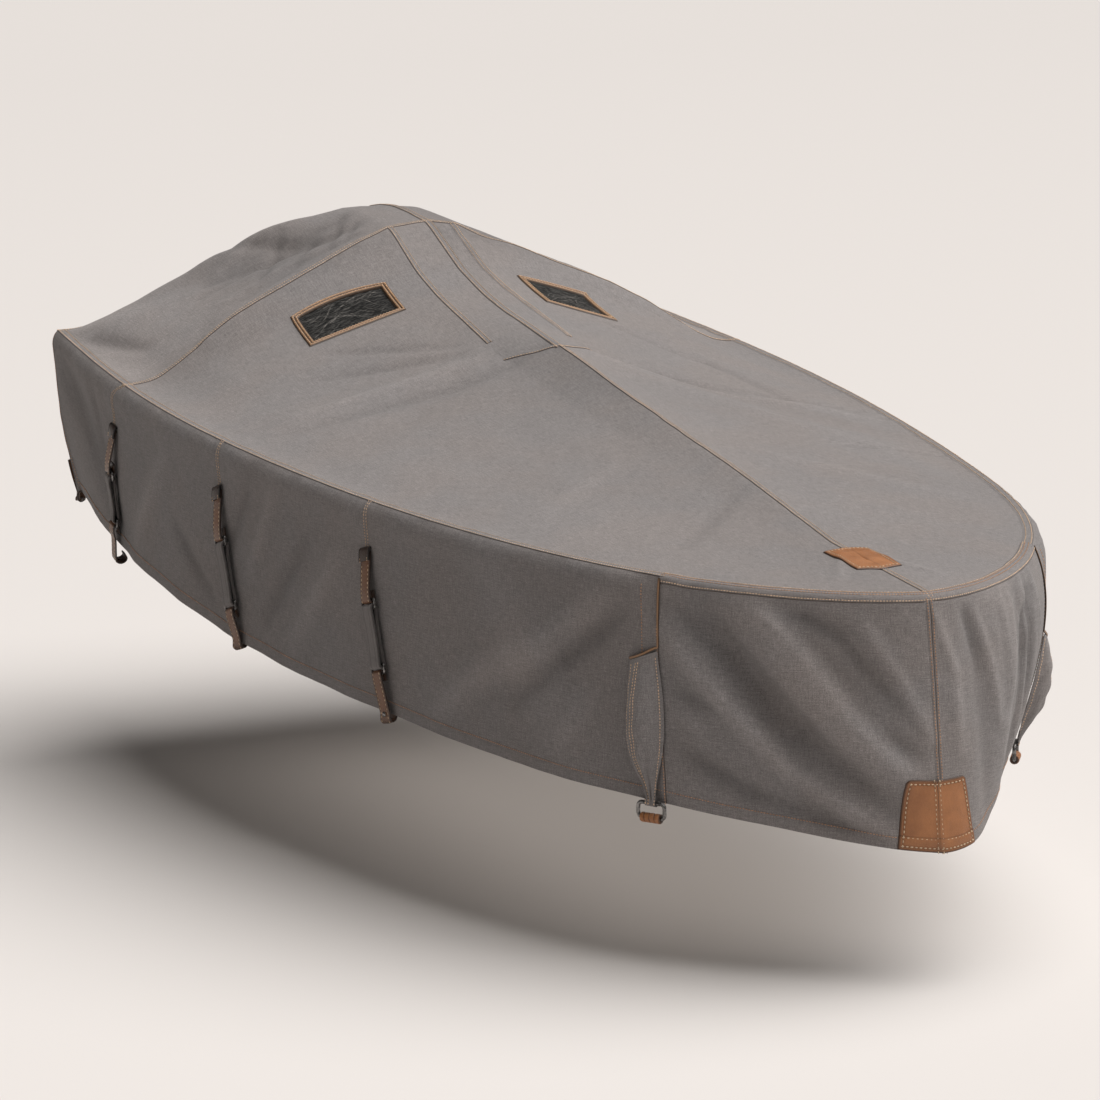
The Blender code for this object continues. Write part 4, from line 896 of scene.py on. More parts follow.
def thread_finish(name, colour):
    finish = Finish(name, {"Roughness": 0.62, "Sheen Weight": 0.2})
    places = finish.objects()
    pieces = finish.fit(finish.noise(places, 130.0, 1.0), 0.3, 0.7, 0.72, 1.22)
    lengths = finish.fit(finish.noise(places, 9.0), 0.3, 0.7, 0.86, 1.12)
    finish.colour(finish.shade(tuple(colour), finish.times(pieces, lengths)))
    twist = finish.add("ShaderNodeTexWave", {"Vector": places, "Scale": 420.0, "Distortion": 1.5},
                       bands_direction="DIAGONAL").outputs["Fac"]
    finish.bump(twist, 0.0002, 0.6)


def mesh_finish():
    finish = Finish("Vent Mesh", {"Roughness": 0.9, "Specular IOR Level": 0.2})
    layout = finish.lengths()
    cells = finish.times(*(finish.maths("ABSOLUTE", finish.ripples(way, 0.0024))
                           for way in finish.split(layout)[:2]))
    colour = finish.blend(cells, (0.009, 0.009, 0.009), (0.003, 0.003, 0.003))
    # painted highlights: thin lighter diagonal lines, as light catching the crinkles
    lines = [finish.fit(finish.streaks(layout, (42.0, 360.0, 1.0), 1.0, turn), 0.57, 0.63)
             for turn in (0.55, 0.95, -0.75)]
    fine = reduce(lambda a, b: finish.maths("MAXIMUM", a, b), lines)
    colour = finish.blend(finish.times(fine, 0.55), colour, (0.100, 0.097, 0.092))
    # painted highlights, partly scuffs, along the crinkles' crease lines
    scuffs_and_highlights = finish.fit(finish.noise(finish.objects(), 160.0, 3.0), 0.35, 0.6)
    finish.colour(finish.blend(finish.times(finish.value("ridge"), scuffs_and_highlights), colour, (0.30, 0.28, 0.26)))
    finish.bump(finish.maths("SUBTRACT", 1.0, cells), 0.0006, 0.8)


def steel_finish():
    finish = Finish("Dark Steel", {"Roughness": 0.32, "Metallic": 1.0})
    places = finish.objects()
    rubbed = finish.fit(finish.noise(places, 120.0, 4.0, 0.6), 0.42, 0.66)
    finish.colour(finish.blend(rubbed, (0.105, 0.100, 0.098), (0.30, 0.29, 0.28)))
    finish.roughness(finish.fit(rubbed, 0.0, 1.0, 0.42, 0.24))
    finish.bump(finish.noise(places, 700.0), 0.0001, 0.4)


def floor_finish(settings):
    finish = Finish("Studio Floor", {"Roughness": 0.9, "Specular IOR Level": 0.1})
    # painted shade: the floor darker further away
    far_shade = finish.fit(finish.split(finish.objects())[0], 2.0, -12.0)
    base = tuple(settings.floor_colour)
    finish.colour(finish.blend(far_shade, base, toned(base, 0.91)))
    return finish.material


def finishes():
    """The materials, made once."""
    settings = bpy.context.scene.boat_cover
    if "Canvas" not in bpy.data.materials:
        canvas_finish(settings)
        canvas_finish(settings, "Canvas Trim", 0.93)
        for name, colour, tone in (("Leather", settings.leather_colour, 1.0),
                                   ("Strap Leather", settings.leather_colour, 0.46),
                                   ("Dark Leather", settings.leather_colour, 0.09),
                                   ("Binding", settings.piping_colour, 0.55),
                                   ("Piping", settings.piping_colour, 0.86)):
            leather_finish(name, colour, tone)
        for name, colour, tone in (("Copper Thread", settings.thread_colour, 1.0),
                                   ("Faint Thread", settings.thread_colour, 0.78),
                                   ("Dark Copper Thread", settings.thread_colour, (0.66, 0.52, 0.44)),
                                   ("Cream Thread", settings.saddle_colour, 1.0)):
            thread_finish(name, toned(colour, tone))
        webbing_finish(settings)
        mesh_finish()
        steel_finish()
    return bpy.data.materials


# ---- making pieces -----------------------------------------------------------------------------
def linked(name, data):
    thing = bpy.data.objects.new(name, data)
    bpy.context.scene.collection.objects.link(thing)
    return thing


def plain_object(name, points, faces, edges=()):
    mesh = bpy.data.meshes.new(name)
    mesh.from_pydata(np.reshape(points, (-1, 3)).tolist(), list(edges),
                     [list(map(int, face)) for face in faces])
    return linked(name, mesh)


def set_values(mesh, layout, **values):
    """The piece's own layout in metres and its marks, from values at its points."""
    corners = np.zeros(len(mesh.loops), int)
    mesh.loops.foreach_get("vertex_index", corners)
    layer = mesh.uv_layers.new(name="Lay")
    layer.data.foreach_set("uv", np.reshape(layout, (-1, 2))[corners].astype(np.float32).ravel())
    for name, numbers in values.items():
        attribute = mesh.attributes.new(name, "FLOAT", "POINT")
        attribute.data.foreach_set("value", np.asarray(numbers, np.float32).ravel())


def bake_modifiers(thing):
    """The object's modifiers turned into its plain mesh."""
    graph = bpy.context.evaluated_depsgraph_get()
    mesh = bpy.data.meshes.new_from_object(thing.evaluated_get(graph))
    old = thing.data
    thing.modifiers.clear()
    thing.data = mesh
    bpy.data.meshes.remove(old)
    mesh.name = thing.name
    return thing


def finish_piece(thing, material, replaces=(), sharp=None):
    mesh = thing.data
    mesh.materials.clear()
    mesh.materials.append(finishes()[material])
    mesh.shade_smooth()
    if sharp is not None:
        mesh.set_sharp_from_angle(angle=math.radians(sharp))
    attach(thing, "root")
    if replaces:
        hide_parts(*replaces)
    return thing


def add_body(name, points, faces, layout, grime, material, replaces=(), sharp=60):
    """A piece from the points of one closed body or several."""
    thing = plain_object(name, points, faces)
    set_values(thing.data, layout, grime=grime)
    finish_piece(turned_out(thing), material, replaces, sharp)


def sheet_faces(rows, columns):
    """The faces of a sheet on a grid of points."""
    return quads_of(np.arange(rows * columns).reshape(rows, columns)).reshape(-1, 4)


def ring_faces(rings, sides, closed=False):
    """The faces of a tube of rings, with its ends capped unless it closes on itself."""
    faces = []
    for n in range(rings if closed else rings - 1):
        here, beside = n * sides, (n + 1) % rings * sides
        for k in range(sides):
            after = (k + 1) % sides
            faces.append([here + k, here + after, beside + after, beside + k])
    if not closed:
        faces += [list(range(sides - 1, -1, -1)), list(range((rings - 1) * sides, rings * sides))]
    return faces


def ring_about(middle, radius, one, other, sides):
    """Points on a circle between two directions; its radius is one number or one for each point."""
    turns = np.linspace(0, 2 * math.pi, sides, endpoint=False)[:, None]
    return middle + np.reshape(radius, (-1, 1)) * (np.cos(turns) * one + np.sin(turns) * other)


def turned_out(thing):
    """Recalculate a closed body's faces so that they point out."""
    work = bmesh.new()
    work.from_mesh(thing.data)
    bmesh.ops.recalc_face_normals(work, faces=work.faces)
    work.to_mesh(thing.data)
    work.free()
    return thing


ROUTE_STEP = 0.006
def square_to(ways, others):
    """The parts of the ways that are square to the others, as unit vectors."""
    return unit(ways - others * np.sum(ways * others, axis=-1, keepdims=True))


def placed(found):
    """A list of rows of values as one array of each kind, such as a line's places and its ways out."""
    return tuple(map(np.array, zip(*found)))


def joined(*lines):
    """Lines laid end to end, each its places and its ways out."""
    return tuple(map(np.concatenate, zip(*lines)))


def looped(line):
    """A line that ends where it starts."""
    return joined(line, [part[:1] for part in line])


class Route:
    """A line over the cloth, with the way out of it and the way across it at each place."""

    def __init__(self, cloth, places, ups, turn=1):
        run = run_of(places)
        self.run = np.linspace(0, run[-1], max(3, int(round(run[-1] / ROUTE_STEP)) + 1))
        self.places = at_run(self.run, run, places)
        self.ups = unit(at_run(self.run, run, ups))
        tangents = unit(smooth_rows(np.gradient(self.places, axis=0), 2))
        self.across = unit(np.cross(self.ups, tangents) * turn)
        self.cloth = cloth
        self.kept = {}

    def lay(self, offset, height):
        """The line moved across by an offset, on the dressed cloth, and raised."""
        key = round(offset, 6)
        if key not in self.kept:
            hits, normals = placed(self.cloth.cast(place + across * offset, -up)
                                   for place, across, up in zip(self.places, self.across, self.ups))
            self.kept[key] = hits, unit(smooth_rows(normals, 2))
        hits, normals = self.kept[key]
        return hits + normals * height, normals

    def row(self, profile, offset):
        """A row of stitches on a seam's raised cloth, at an offset in millimetres."""
        return self.lay(offset / 1000, height_at(profile, offset) + STITCH_LIFT)


def smooth_rows(values, times):
    for _ in range(times):
        padded = np.concatenate([values[:1], values, values[-1:]])
        values = (padded[:-2] + 2 * padded[1:-1] + padded[2:]) / 4
    return values


# across a seam: offset, height and darkening (a painted shadow line at the crisp edge, with some dirt), in
# millimetres; the crisp edge is at 0
FELLED = ((-1.5, 0.12, 0.6), (-0.7, 0.16, 1.0), (-0.25, 0.5, 0.9), (0.0, 0.95, 0.3), (0.6, 1.3, 0.0),
          (1.4, 1.25, 0.0), (2.3, 0.95, 0.10), (3.3, 1.25, 0.0), (9.6, 1.2, 0.0), (10.8, 0.9, 0.08),
          (12.0, 1.15, 0.0), (13.6, 0.75, 0.0), (14.8, 0.30, 0.12), (15.8, 0.10, 0.0))
RIM_FELL = tuple((a if a < 3 else a * 1.35, height, grime) for a, height, grime in FELLED)
FELLED_ROWS = (2.3, 10.8)
RIM_ROWS = (2.3, 14.6)
DOUBLE_ROWS = (-5.6, 5.6)
DOUBLE = ((-9.6, 0.14, 0.6), (-8.7, 0.20, 0.9), (-8.3, 0.8, 0.6), (-7.7, 1.5, 0.0), (-5.6, 1.10, 0.1),
          (-3.6, 1.45, 0.0), (3.6, 1.45, 0.0), (5.6, 1.10, 0.1), (7.7, 1.5, 0.0), (8.3, 0.8, 0.6),
          (8.7, 0.20, 0.9), (9.6, 0.14, 0.6))
BUTTED_ROWS = (-4.8, 4.8)
BUTTED = ((-9.5, 0.12, 0.0), (-8.2, 0.55, 0.0), (-6.5, 0.95, 0.0), (-4.8, 0.75, 0.08), (-3.0, 1.15, 0.0),
          (-1.2, 1.05, 0.1), (-0.35, 0.35, 0.9), (0.35, 0.35, 0.9), (1.2, 1.05, 0.1), (3.0, 1.15, 0.0),
          (4.8, 0.75, 0.08), (6.5, 0.95, 0.0), (8.2, 0.55, 0.0), (9.5, 0.12, 0.0))
STITCH_LIFT = 0.0004      # of a row of stitches over its cloth
GUSSET_FADE = 7           # rows of cloth between a gusset seam's end and the deck seam
SEAM_ROOT = -0.0006       # a seam's underside, in the cloth


def height_at(profile, offset):
    """How high a profile stands, in metres, at an offset in millimetres."""
    return float(np.interp(offset, [row[0] for row in profile], [row[1] for row in profile])) / 1000


def layout_of(along, across):
    """A grid's places in a flat layout, as one list."""
    return np.stack(np.meshgrid(along, across, indexing="ij"), 2).reshape(-1, 2)


def seam_body(route, profile):
    """The points, faces, layout and darkening of one seam's raised cloth: painted shadow lines at its crisp
    edges, with some dirt.
    """
    across, heights, dirt_and_shade_values = (list(column) for column in zip(*profile))
    under = [across[-1], (across[0] + across[-1]) / 2, across[0]]
    rings = [route.lay(offset / 1000, height / 1000)[0] for offset, height in zip(across, heights)]
    grid = np.stack(rings + [route.lay(offset / 1000, SEAM_ROOT)[0] for offset in under], 1)
    count, sides = grid.shape[:2]
    layout = layout_of(route.run, np.array(across + [across[-1], 0.0, across[0]]) / 1000)
    return grid.reshape(-1, 3), ring_faces(count, sides), layout, np.tile(dirt_and_shade_values + [0, 0, 0], count)


def add_bodies(name, bodies, replaces=()):
    """One piece of canvas trim from several closed bodies, each its points, faces, layout and darkening
    (painted shadow lines, with some dirt).
    """
    faces = []
    start = 0
    for points, body_faces, _, _ in bodies:
        faces += [[i + start for i in face] for face in body_faces]
        start += len(points)
    points, _, layouts, dirt_and_shade_values = zip(*bodies)
    add_body(name, np.concatenate(points), faces, np.concatenate(layouts), np.concatenate(dirt_and_shade_values),
             "Canvas Trim", replaces)


# ---- stitches ----------------------------------------------------------------------------------
# the stitches of the trims: their pitch, length and thickness
VENT_STITCH = (0.0078, 0.0040, 0.0019)
VENT_SLANT = 1.35         # nearly across the frame
FORE_PATCH_STITCH = (0.0085, 0.0062, 0.0024)
BOW_PATCH_STITCH = (0.0092, 0.0066, 0.0027)
STRAP_STITCH = (0.0088, 0.0058, 0.0022)
TAB_STITCH = (0.0070, 0.0044, 0.0018)
BINDING_STITCH = (0.0078, 0.0044, 0.0017)


def stitch_tree():
    """Geometry nodes that set rounded stitches a pitch apart along each line, lying on the cloth."""
    name = "Stitch Rows"
    if name in bpy.data.node_groups:
        return bpy.data.node_groups[name]
    tree = bpy.data.node_groups.new(name, "GeometryNodeTree")
    face = tree.interface
    face.new_socket("Lines", in_out="INPUT", socket_type="NodeSocketGeometry")
    for label, default in (("Pitch", 0.0065), ("Stitch Length", 0.005), ("Thread Thickness", 0.0015),
                           ("Slant", 0.1)):
        socket = face.new_socket(label, in_out="INPUT", socket_type="NodeSocketFloat")
        socket.default_value = default
        socket.subtype = "ANGLE" if label == "Slant" else "DISTANCE"
    face.new_socket("Thread", in_out="INPUT", socket_type="NodeSocketMaterial")
    face.new_socket("Stitches", in_out="OUTPUT", socket_type="NodeSocketGeometry")
    add = Nodes(tree).add
    given = add("NodeGroupInput").outputs
    curve = add("GeometryNodeMeshToCurve", {0: given["Lines"]}).outputs[0]
    spaced = add("GeometryNodeResampleCurve", {"Curve": curve, "Length": given["Pitch"]}, mode="LENGTH")
    bead = add("GeometryNodeMeshUVSphere", {"Segments": 6, "Rings": 4, "Radius": 0.5})
    rounded = add("GeometryNodeSetShadeSmooth", {"Geometry": bead.outputs["Mesh"]})
    lay = add("GeometryNodeInputNamedAttribute", {"Name": "lay"}, data_type="FLOAT_VECTOR")
    tangent = add("GeometryNodeInputTangent").outputs[0]
    turn = add("FunctionNodeAxesToRotation", {"Primary Axis": tangent, "Secondary Axis": lay.outputs[0]},
               primary_axis="X", secondary_axis="Z")
    stray = add("FunctionNodeRandomValue", {2: 0.82, 3: 1.08, "Seed": 7}).outputs[1]
    angle, length = (add("ShaderNodeMath", {0: given[what], 1: stray}, operation="MULTIPLY").outputs[0]
                     for what in ("Slant", "Stitch Length"))
    euler = add("ShaderNodeCombineXYZ", {"Z": angle})
    slant = add("FunctionNodeEulerToRotation", {0: euler.outputs[0]})
    turned = add("FunctionNodeRotateRotation", {0: turn.outputs[0], 1: slant.outputs[0]},
                 rotation_space="LOCAL")
    size = add("ShaderNodeCombineXYZ", {"X": length, "Y": given["Thread Thickness"],
                                        "Z": given["Thread Thickness"]})
    sewn = add("GeometryNodeInstanceOnPoints", {"Points": spaced.outputs[0], "Instance": rounded.outputs[0],
                                                "Rotation": turned.outputs[0], "Scale": size.outputs[0]})
    real = add("GeometryNodeRealizeInstances", {0: sewn.outputs[0]})
    dyed = add("GeometryNodeSetMaterial", {"Geometry": real.outputs[0], "Material": given["Thread"]})
    add("NodeGroupOutput", {0: dyed.outputs[0]})
    return tree


def add_stitches(name, rows, thread, pitch, length, thickness, slant=0.06, slot="binding"):
    """Stitches along rows, each row its points and the cloth's way out at them."""
    edges = []
    start = 0
    for places, _ in rows:
        edges += [(start + k, start + k + 1) for k in range(len(places) - 1)]
        start += len(places)
    points, lays = map(np.concatenate, zip(*rows))
    thing = plain_object(name, points, [], edges)
    attribute = thing.data.attributes.new("lay", "FLOAT_VECTOR", "POINT")
    attribute.data.foreach_set("vector", lays.astype(np.float32).ravel())
    modifier = thing.modifiers.new("Stitch Rows", "NODES")
    tree = modifier.node_group = stitch_tree()
    named = {item.name: item.identifier for item in tree.interface.items_tree if item.in_out == "INPUT"}
    for what, value in (("Pitch", pitch), ("Stitch Length", length), ("Thread Thickness", thickness),
                        ("Slant", slant), ("Thread", finishes()[thread])):
        modifier[named[what]] = value
    bake_modifiers(thing)
    finish_piece(thing, thread)


# ---- the canvas --------------------------------------------------------------------------------
# Each panel's cut before it is sewn: its width and length, its flat area, and how it is held.
PANEL_CUTS = {
    "stern_panel_starboard": (0.80, 0.88, 0.50, "draped", "over_boat"),
    "stern_panel_port": (0.80, 0.88, 0.47, "draped", "over_boat"),
    "hood_gusset_starboard": (0.16, 0.78, 0.090, "stretched", "deck_panel_starboard"),
    "hood_gusset_port": (0.14, 0.76, 0.066, "stretched", "deck_panel_port"),
    "deck_panel_starboard": (0.86, 2.60, 1.52, "draped", "over_boat"),
    "deck_panel_port": (0.86, 2.60, 1.52, "draped", "over_boat"),
    "side_panel_starboard": (0.48, 2.82, 1.16, "hung", "deck_panel_starboard"),
    "side_panel_port": (0.48, 2.82, 1.16, "hung", "deck_panel_port"),
    "bow_panel_starboard": (0.53, 0.60, 0.29, "hung", "deck_panel_starboard"),
    "bow_panel_port": (0.53, 0.60, 0.27, "hung", "deck_panel_port"),
    "transom_panel": (0.40, 1.42, 0.54, "hung", "stern_panel_starboard"),
}

# vents, by side: the corners in plan (distances behind the bow and across from the centre, upper edge
# first), how far the upper edge bows up, and the width and height on the slope
VENTS = {
    -1: (((2.430, 0.386), (2.4225, 0.155), (2.2755, 0.167), (2.2706, 0.403)), 0.018, 0.240, 0.156),
    1: (((2.433, 0.345), (2.425, 0.168), (2.270, 0.173), (2.250, 0.342)), 0.004, 0.185, 0.172),
}
VENT_HOLE = 0.0074        # from the frame's outer edge to the hole in the canvas
MESH_IN = 0.0162          # and to the mesh's edge, under the frame's inner rib


def vent_place(side, u, v):
    """A place in a vent: u runs inwards and v runs down the slope, both from 0 to 1."""
    corners, bow, _, _ = VENTS[side]
    shares = ((1 - v) * (1 - u), (1 - v) * u, v * u, v * (1 - u))
    aft, across = (sum(share * corner[k] for share, corner in zip(shares, corners)) for k in (0, 1))
    return aft + bow * 4 * u * (1 - u) * (1 - v), side * across


def vent_ring(side, margin, steps=(30, 20)):
    """Places in plan round a vent, a margin in from its frame's outer edge."""
    _, _, width, height = VENTS[side]
    u0, v0 = margin / width, margin / height
    us = np.linspace(u0, 1 - u0, steps[0])
    vs = np.linspace(v0, 1 - v0, steps[1])
    ring = [*((u, v0) for u in us[:-1]), *((1 - u0, v) for v in vs[:-1]),
            *((u, 1 - v0) for u in us[:0:-1]), *((u0, v) for v in vs[:0:-1])]
    return [vent_place(side, u, v) for u, v in ring]


def add_panel(cloth, name, thickness):
    """One canvas panel as a closed sheet on its solid's folds, with its vent's hole if it has one."""
    used, local = np.unique(cloth.panels[name], return_inverse=True)
    thing = plain_object(name + "_canvas", cloth.points[used], local.reshape(cloth.panels[name].shape))
    uv = np.zeros((len(cloth.points), 2))
    uv[:len(cloth.uv)] = cloth.uv
    if name.startswith(("side_", "bow_", "transom")):
        uv[cloth.skirt.ravel()] = cloth.skirt_uv.reshape(-1, 2)
        if name == "transom_panel":
            uv[cloth.skirt[0]] = cloth.skirt_uv[0] + np.array([cloth.girth, 0.0])
    set_values(thing.data, uv[used], grime=np.zeros(len(used)), faded=cloth.faded[used])
    with_settings(thing.modifiers.new("Thickness", "SOLIDIFY"), thickness=thickness, offset=-1.0,
                  use_even_offset=True, thickness_clamp=0.6)
    cutter = None
    if name.startswith("deck_panel"):
        outline = vent_ring(-1 if name.endswith("starboard") else 1, VENT_HOLE, (9, 6))
        plan = [(BOW_X - aft + PART_SHIFT[0], across + PART_SHIFT[1]) for aft, across in outline]
        ends = [(x, y, z) for z in (0.3, 1.2) for x, y in plan]
        cutter = turned_out(plain_object("Vent Cutter", ends, ring_faces(2, len(plan))))
        with_settings(thing.modifiers.new("Vent Hole", "BOOLEAN"), operation="DIFFERENCE", object=cutter)
    bake_modifiers(thing)
    if cutter:
        bpy.data.objects.remove(cutter)
    finish_piece(thing, "Canvas", [name], sharp=50)


# ---- lines over the cloth ----------------------------------------------------------------------


@lru_cache(maxsize=1)
def seam_routes():
    """Every seam's route, by name, with its profile and its rows of stitches in millimetres across it."""
    cloth = the_cloth()
    last, last_side = cloth.last, cloth.side_columns - 1
    fore, aft = cloth.at_pleat, last_side - cloth.at_pleat
    hood = np.arange(cloth.at_cross, cloth.at_deck_seam + 1)

    def at(ids):
        return cloth.points[ids], cloth.normals[ids]

    def deck(side, rows, columns):
        return at(cloth.deck[side][rows, columns])

    def across(row, edge):
        columns = np.arange(edge, -1, -1)
        return joined(deck(-1, row, columns), deck(1, row, columns[::-1][1:]))

    def down(column, start):
        depths = cloth.depths[column]
        return at(cloth.skirt[column][(depths >= start) & (depths <= cloth.drops[column] + 1e-6)])

    ridge = joined(deck(-1, np.arange(cloth.at_deck_seam, last + 1), 0),
                   deck(-1, last, np.arange(1, cloth.edge + 1)))
    seams = {
        "rim_starboard": (at(cloth.rim[:fore + 2]), 1, RIM_FELL, RIM_ROWS),
        "rim_port": (at(cloth.rim[aft - 1:last_side + 1]), 1, RIM_FELL, RIM_ROWS),
        "rim_transom": (joined(at(cloth.rim[last_side:]), at(cloth.rim[:1])), 1, RIM_FELL, RIM_ROWS),
        "cross_seam": (across(cloth.at_cross, cloth.edge), 1, FELLED, FELLED_ROWS),
        "gusset_starboard": (deck(-1, hood[:-GUSSET_FADE], cloth.knuckle), 1, FELLED, FELLED_ROWS),
        "gusset_port": (deck(1, hood[:-GUSSET_FADE], cloth.knuckle), -1, FELLED, FELLED_ROWS),
        "stern_centre": (deck(-1, np.arange(2, cloth.at_cross + 1), 0), 1, DOUBLE, DOUBLE_ROWS),
        "hood_centre": (deck(-1, hood, 0), 1, DOUBLE, DOUBLE_ROWS),
        "hood_end": (across(cloth.at_deck_seam, cloth.knuckle), 1, FELLED, FELLED_ROWS[:1]),
        "ridge": (ridge, 1, FELLED, FELLED_ROWS),
        "bow_seam": (down(last, 0.006), 1, BUTTED, BUTTED_ROWS),
        "stern_corner_starboard": (down(0, 0.004), 1, BUTTED, BUTTED_ROWS),
        "stern_corner_port": (down(last_side, 0.004), 1, BUTTED, BUTTED_ROWS),
        "pleat_seam_starboard": (down(fore, 0.03), -1, FELLED, FELLED_ROWS[:1]),
        "pleat_seam_port": (down(aft, 0.03), 1, FELLED, FELLED_ROWS[:1]),
    }
    return {name: (Route(cloth, *line, turn), profile, rows)
            for name, (line, turn, profile, rows) in seams.items()}


def dressed(cloth, along, depth):
    """A place on the dressed skirt, with the cloth's way out."""
    base = cloth.on_skirt(along, depth, 0.0)
    return cloth.cast(base, base - cloth.on_skirt(along, depth, 0.01))


def skirt_line(cloth, along, depths):
    """A line down the dressed skirt at a place along the rim, with the cloth's way out."""
    return placed(dressed(cloth, along, depth) for depth in depths)


# across the bow's band, from its skirt edge (negative) to its deck edge: offset, height and darkening
# (painted shadow lines at its crisp edges)
BAND = ((-11.6, 0.10, 0.6), (-10.7, 0.22, 0.9), (-10.3, 0.8, 0.3), (-9.6, 1.35, 0.0), (-7.9, 1.05, 0.1),
        (-6.2, 1.4, 0.0), (-2.0, 1.7, 0.0), (3.0, 1.7, 0.0), (6.0, 1.45, 0.06), (9.0, 1.6, 0.0),
        (13.0, 1.35, 0.06), (15.6, 1.5, 0.0), (17.2, 1.1, 0.1), (18.8, 1.3, 0.0), (19.9, 0.8, 0.2),
        (20.5, 0.22, 0.6), (21.6, 0.10, 0.3))
BAND_ROWS = (-7.9, 17.2)
BAND_FAINT_ROWS = (6.0, 13.0)


def hem_line(cloth):
    """The line of the hem's stitches, with the cloth's way out."""
    found = []
    for column in range(len(cloth.rim)):
        depths = cloth.depths[column]
        target = cloth.drops[column] - HEM
        row = int(np.clip(np.searchsorted(depths, target) - 1, 0, len(depths) - 2))
        s = (target - depths[row]) / (depths[row + 1] - depths[row])
        a, b = cloth.skirt[column, row:row + 2]
        normal = cloth.normals[a] * (1 - s) + cloth.normals[b] * s
        found.append((cloth.points[a] * (1 - s) + cloth.points[b] * s + normal * STITCH_LIFT, normal))
    return looped(placed(found))


@lru_cache(maxsize=1)
def band_route():
    cloth = the_cloth()
    last_side = cloth.side_columns - 1
    ids = cloth.rim[cloth.at_pleat:last_side - cloth.at_pleat + 1]
    return Route(cloth, cloth.points[ids], cloth.normals[ids])


def layered(name, grid, thickness):
    """A sheet on a grid of points, half its thickness to each side, with eased edges."""
    rows, columns = grid.shape[:2]
    thing = plain_object(name, grid, sheet_faces(rows, columns))
    set_values(thing.data, layout_of(run_of(grid[:, columns // 2]), run_of(grid[rows // 2])),
               grime=np.zeros(rows * columns))
    with_settings(thing.modifiers.new("Thickness", "SOLIDIFY"), thickness=thickness, offset=0.0,
                  use_even_offset=True, thickness_clamp=1.0)
    with_settings(thing.modifiers.new("Eased Edges", "BEVEL"), width=0.0007, segments=2, limit_method="ANGLE",
                  angle_limit=math.radians(50), use_clamp_overlap=True)
    return turned_out(bake_modifiers(thing))


def curve_through(path, steps):
    """A smooth curve through the points of a path, with a few places between each two."""
    path = np.asarray(path, float)
    ends = np.concatenate([[2 * path[0] - path[1]], path, [2 * path[-1] - path[-2]]])
    found = []
    for k in range(1, len(ends) - 2):
        a, b, c, d = ends[k - 1:k + 3]
        for t in np.arange(steps) / steps:
            found.append(0.5 * (2 * b + (c - a) * t + (2 * a - 5 * b + 4 * c - d) * t * t
                                + (3 * b - a - 3 * c + d) * t ** 3))
    return np.array(found + [path[-1]])


# across a strip: its place from edge to edge, how high its face stands and how dark it is: dark edges, partly
# painted shade on their rounding, and painted shade in the sunk stitch lines
STRIP_FACE = ((-1.0, 0.25, 1.0), (-0.96, 0.75, 0.95), (-0.88, 0.98, 0.75), (-0.80, 1.0, 0.45),
              (-0.66, 0.80, 0.3), (-0.54, 1.02, 0.0), (-0.22, 1.12, 0.0), (0.22, 1.12, 0.0),
              (0.54, 1.02, 0.0), (0.66, 0.80, 0.3), (0.80, 1.0, 0.45), (0.88, 0.98, 0.75),
              (0.96, 0.75, 0.95), (1.0, 0.25, 1.0))
STITCH_LINE = 0.66        # of a strip's half width


def add_strip(name, centres, sides, width, thickness, material, slot, replaces=(), closed=False,
              face=STRIP_FACE, worn=0.0):
    """A flat strip with rounded, darker edges and a sunk line for its stitches near each edge. Its thickness
    is one number or one for each place. Returns its rows of stitches on its outer face."""
    if closed:
        tangents = unit(np.roll(centres, -1, axis=0) - np.roll(centres, 1, axis=0))
    else:
        tangents = unit(np.gradient(centres, axis=0))
    sides = square_to(sides, tangents)
    outs = np.cross(tangents, sides)
    half = np.broadcast_to(np.asarray(thickness) / 2, len(centres))[:, None]
    across, heights, grime = placed([*face, *((a, -h * 0.9, g) for a, h, g in reversed(face))])
    across = across * width / 2
    grid = np.stack([centres + sides * a + outs * half * h for a, h in zip(across, heights)], 1)
    grime = np.maximum(grime, np.broadcast_to(worn, len(centres))[:, None])
    if not closed:
        for end, share in ((0, 0.8), (1, 0.4), (-1, 0.8), (-2, 0.4)):
            grime[end] = np.maximum(grime[end], share)
    add_body(name, grid, ring_faces(*grid.shape[:2], closed), layout_of(run_of(centres), across), grime,
             material, replaces)
    return [(centres + sides * side * STITCH_LINE * width / 2 + outs * half * 0.92, outs) for side in (-1, 1)]


def add_loop(name, centre, along, down, width, height, radius, sides=10):
    """A rounded rectangle of wire: its sizes are between the wires' centres."""
    corner = min(width, height) * 0.30
    out = unit(np.cross(along, down))
    rings = []
    for quarter, (sign_x, sign_y) in enumerate(((1, 1), (-1, 1), (-1, -1), (1, -1))):
        middle = centre + sign_x * (width / 2 - corner) * along + sign_y * (height / 2 - corner) * down
        for angle in np.linspace(quarter, quarter + 1, 7) * math.pi / 2:
            away = math.cos(angle) * along + math.sin(angle) * down
            rings.append(ring_about(middle + corner * away, radius, away, out, sides))
    add_steel(name, rings, ring_faces(len(rings), sides, closed=True))


def add_steel(name, points, faces):
    thing = plain_object(name + "_steel", points, faces)
    finish_piece(turned_out(thing), "Dark Steel", [name], sharp=60)


# ---- straps ------------------------------------------------------------------------------------
TRIM = 0.0025
STRIP_THICK = 0.0036
WEB_THICK = 0.0056
WIRE = 0.0031
WRAP_GAP = 0.0008
LOOP_OUT = 0.0130
STRAP_WIDTH = 0.038
WEB_WIDTH = 0.042
LOOP_WIDTH = 0.050
LOOP_HEIGHT = 0.018
UPPER_LOOP = 0.203
LOWER_LOOP = 0.335
LOWER_LOOP_OVER_HEM = 0.062
OPEN_TAIL = 0.03          # a tail that hangs lower than this is turned into an open loop
TURN = (90, 67, 45, 22, 0, -22, -45, -67, -90)
CORNER_STRAP_IN = 0.008
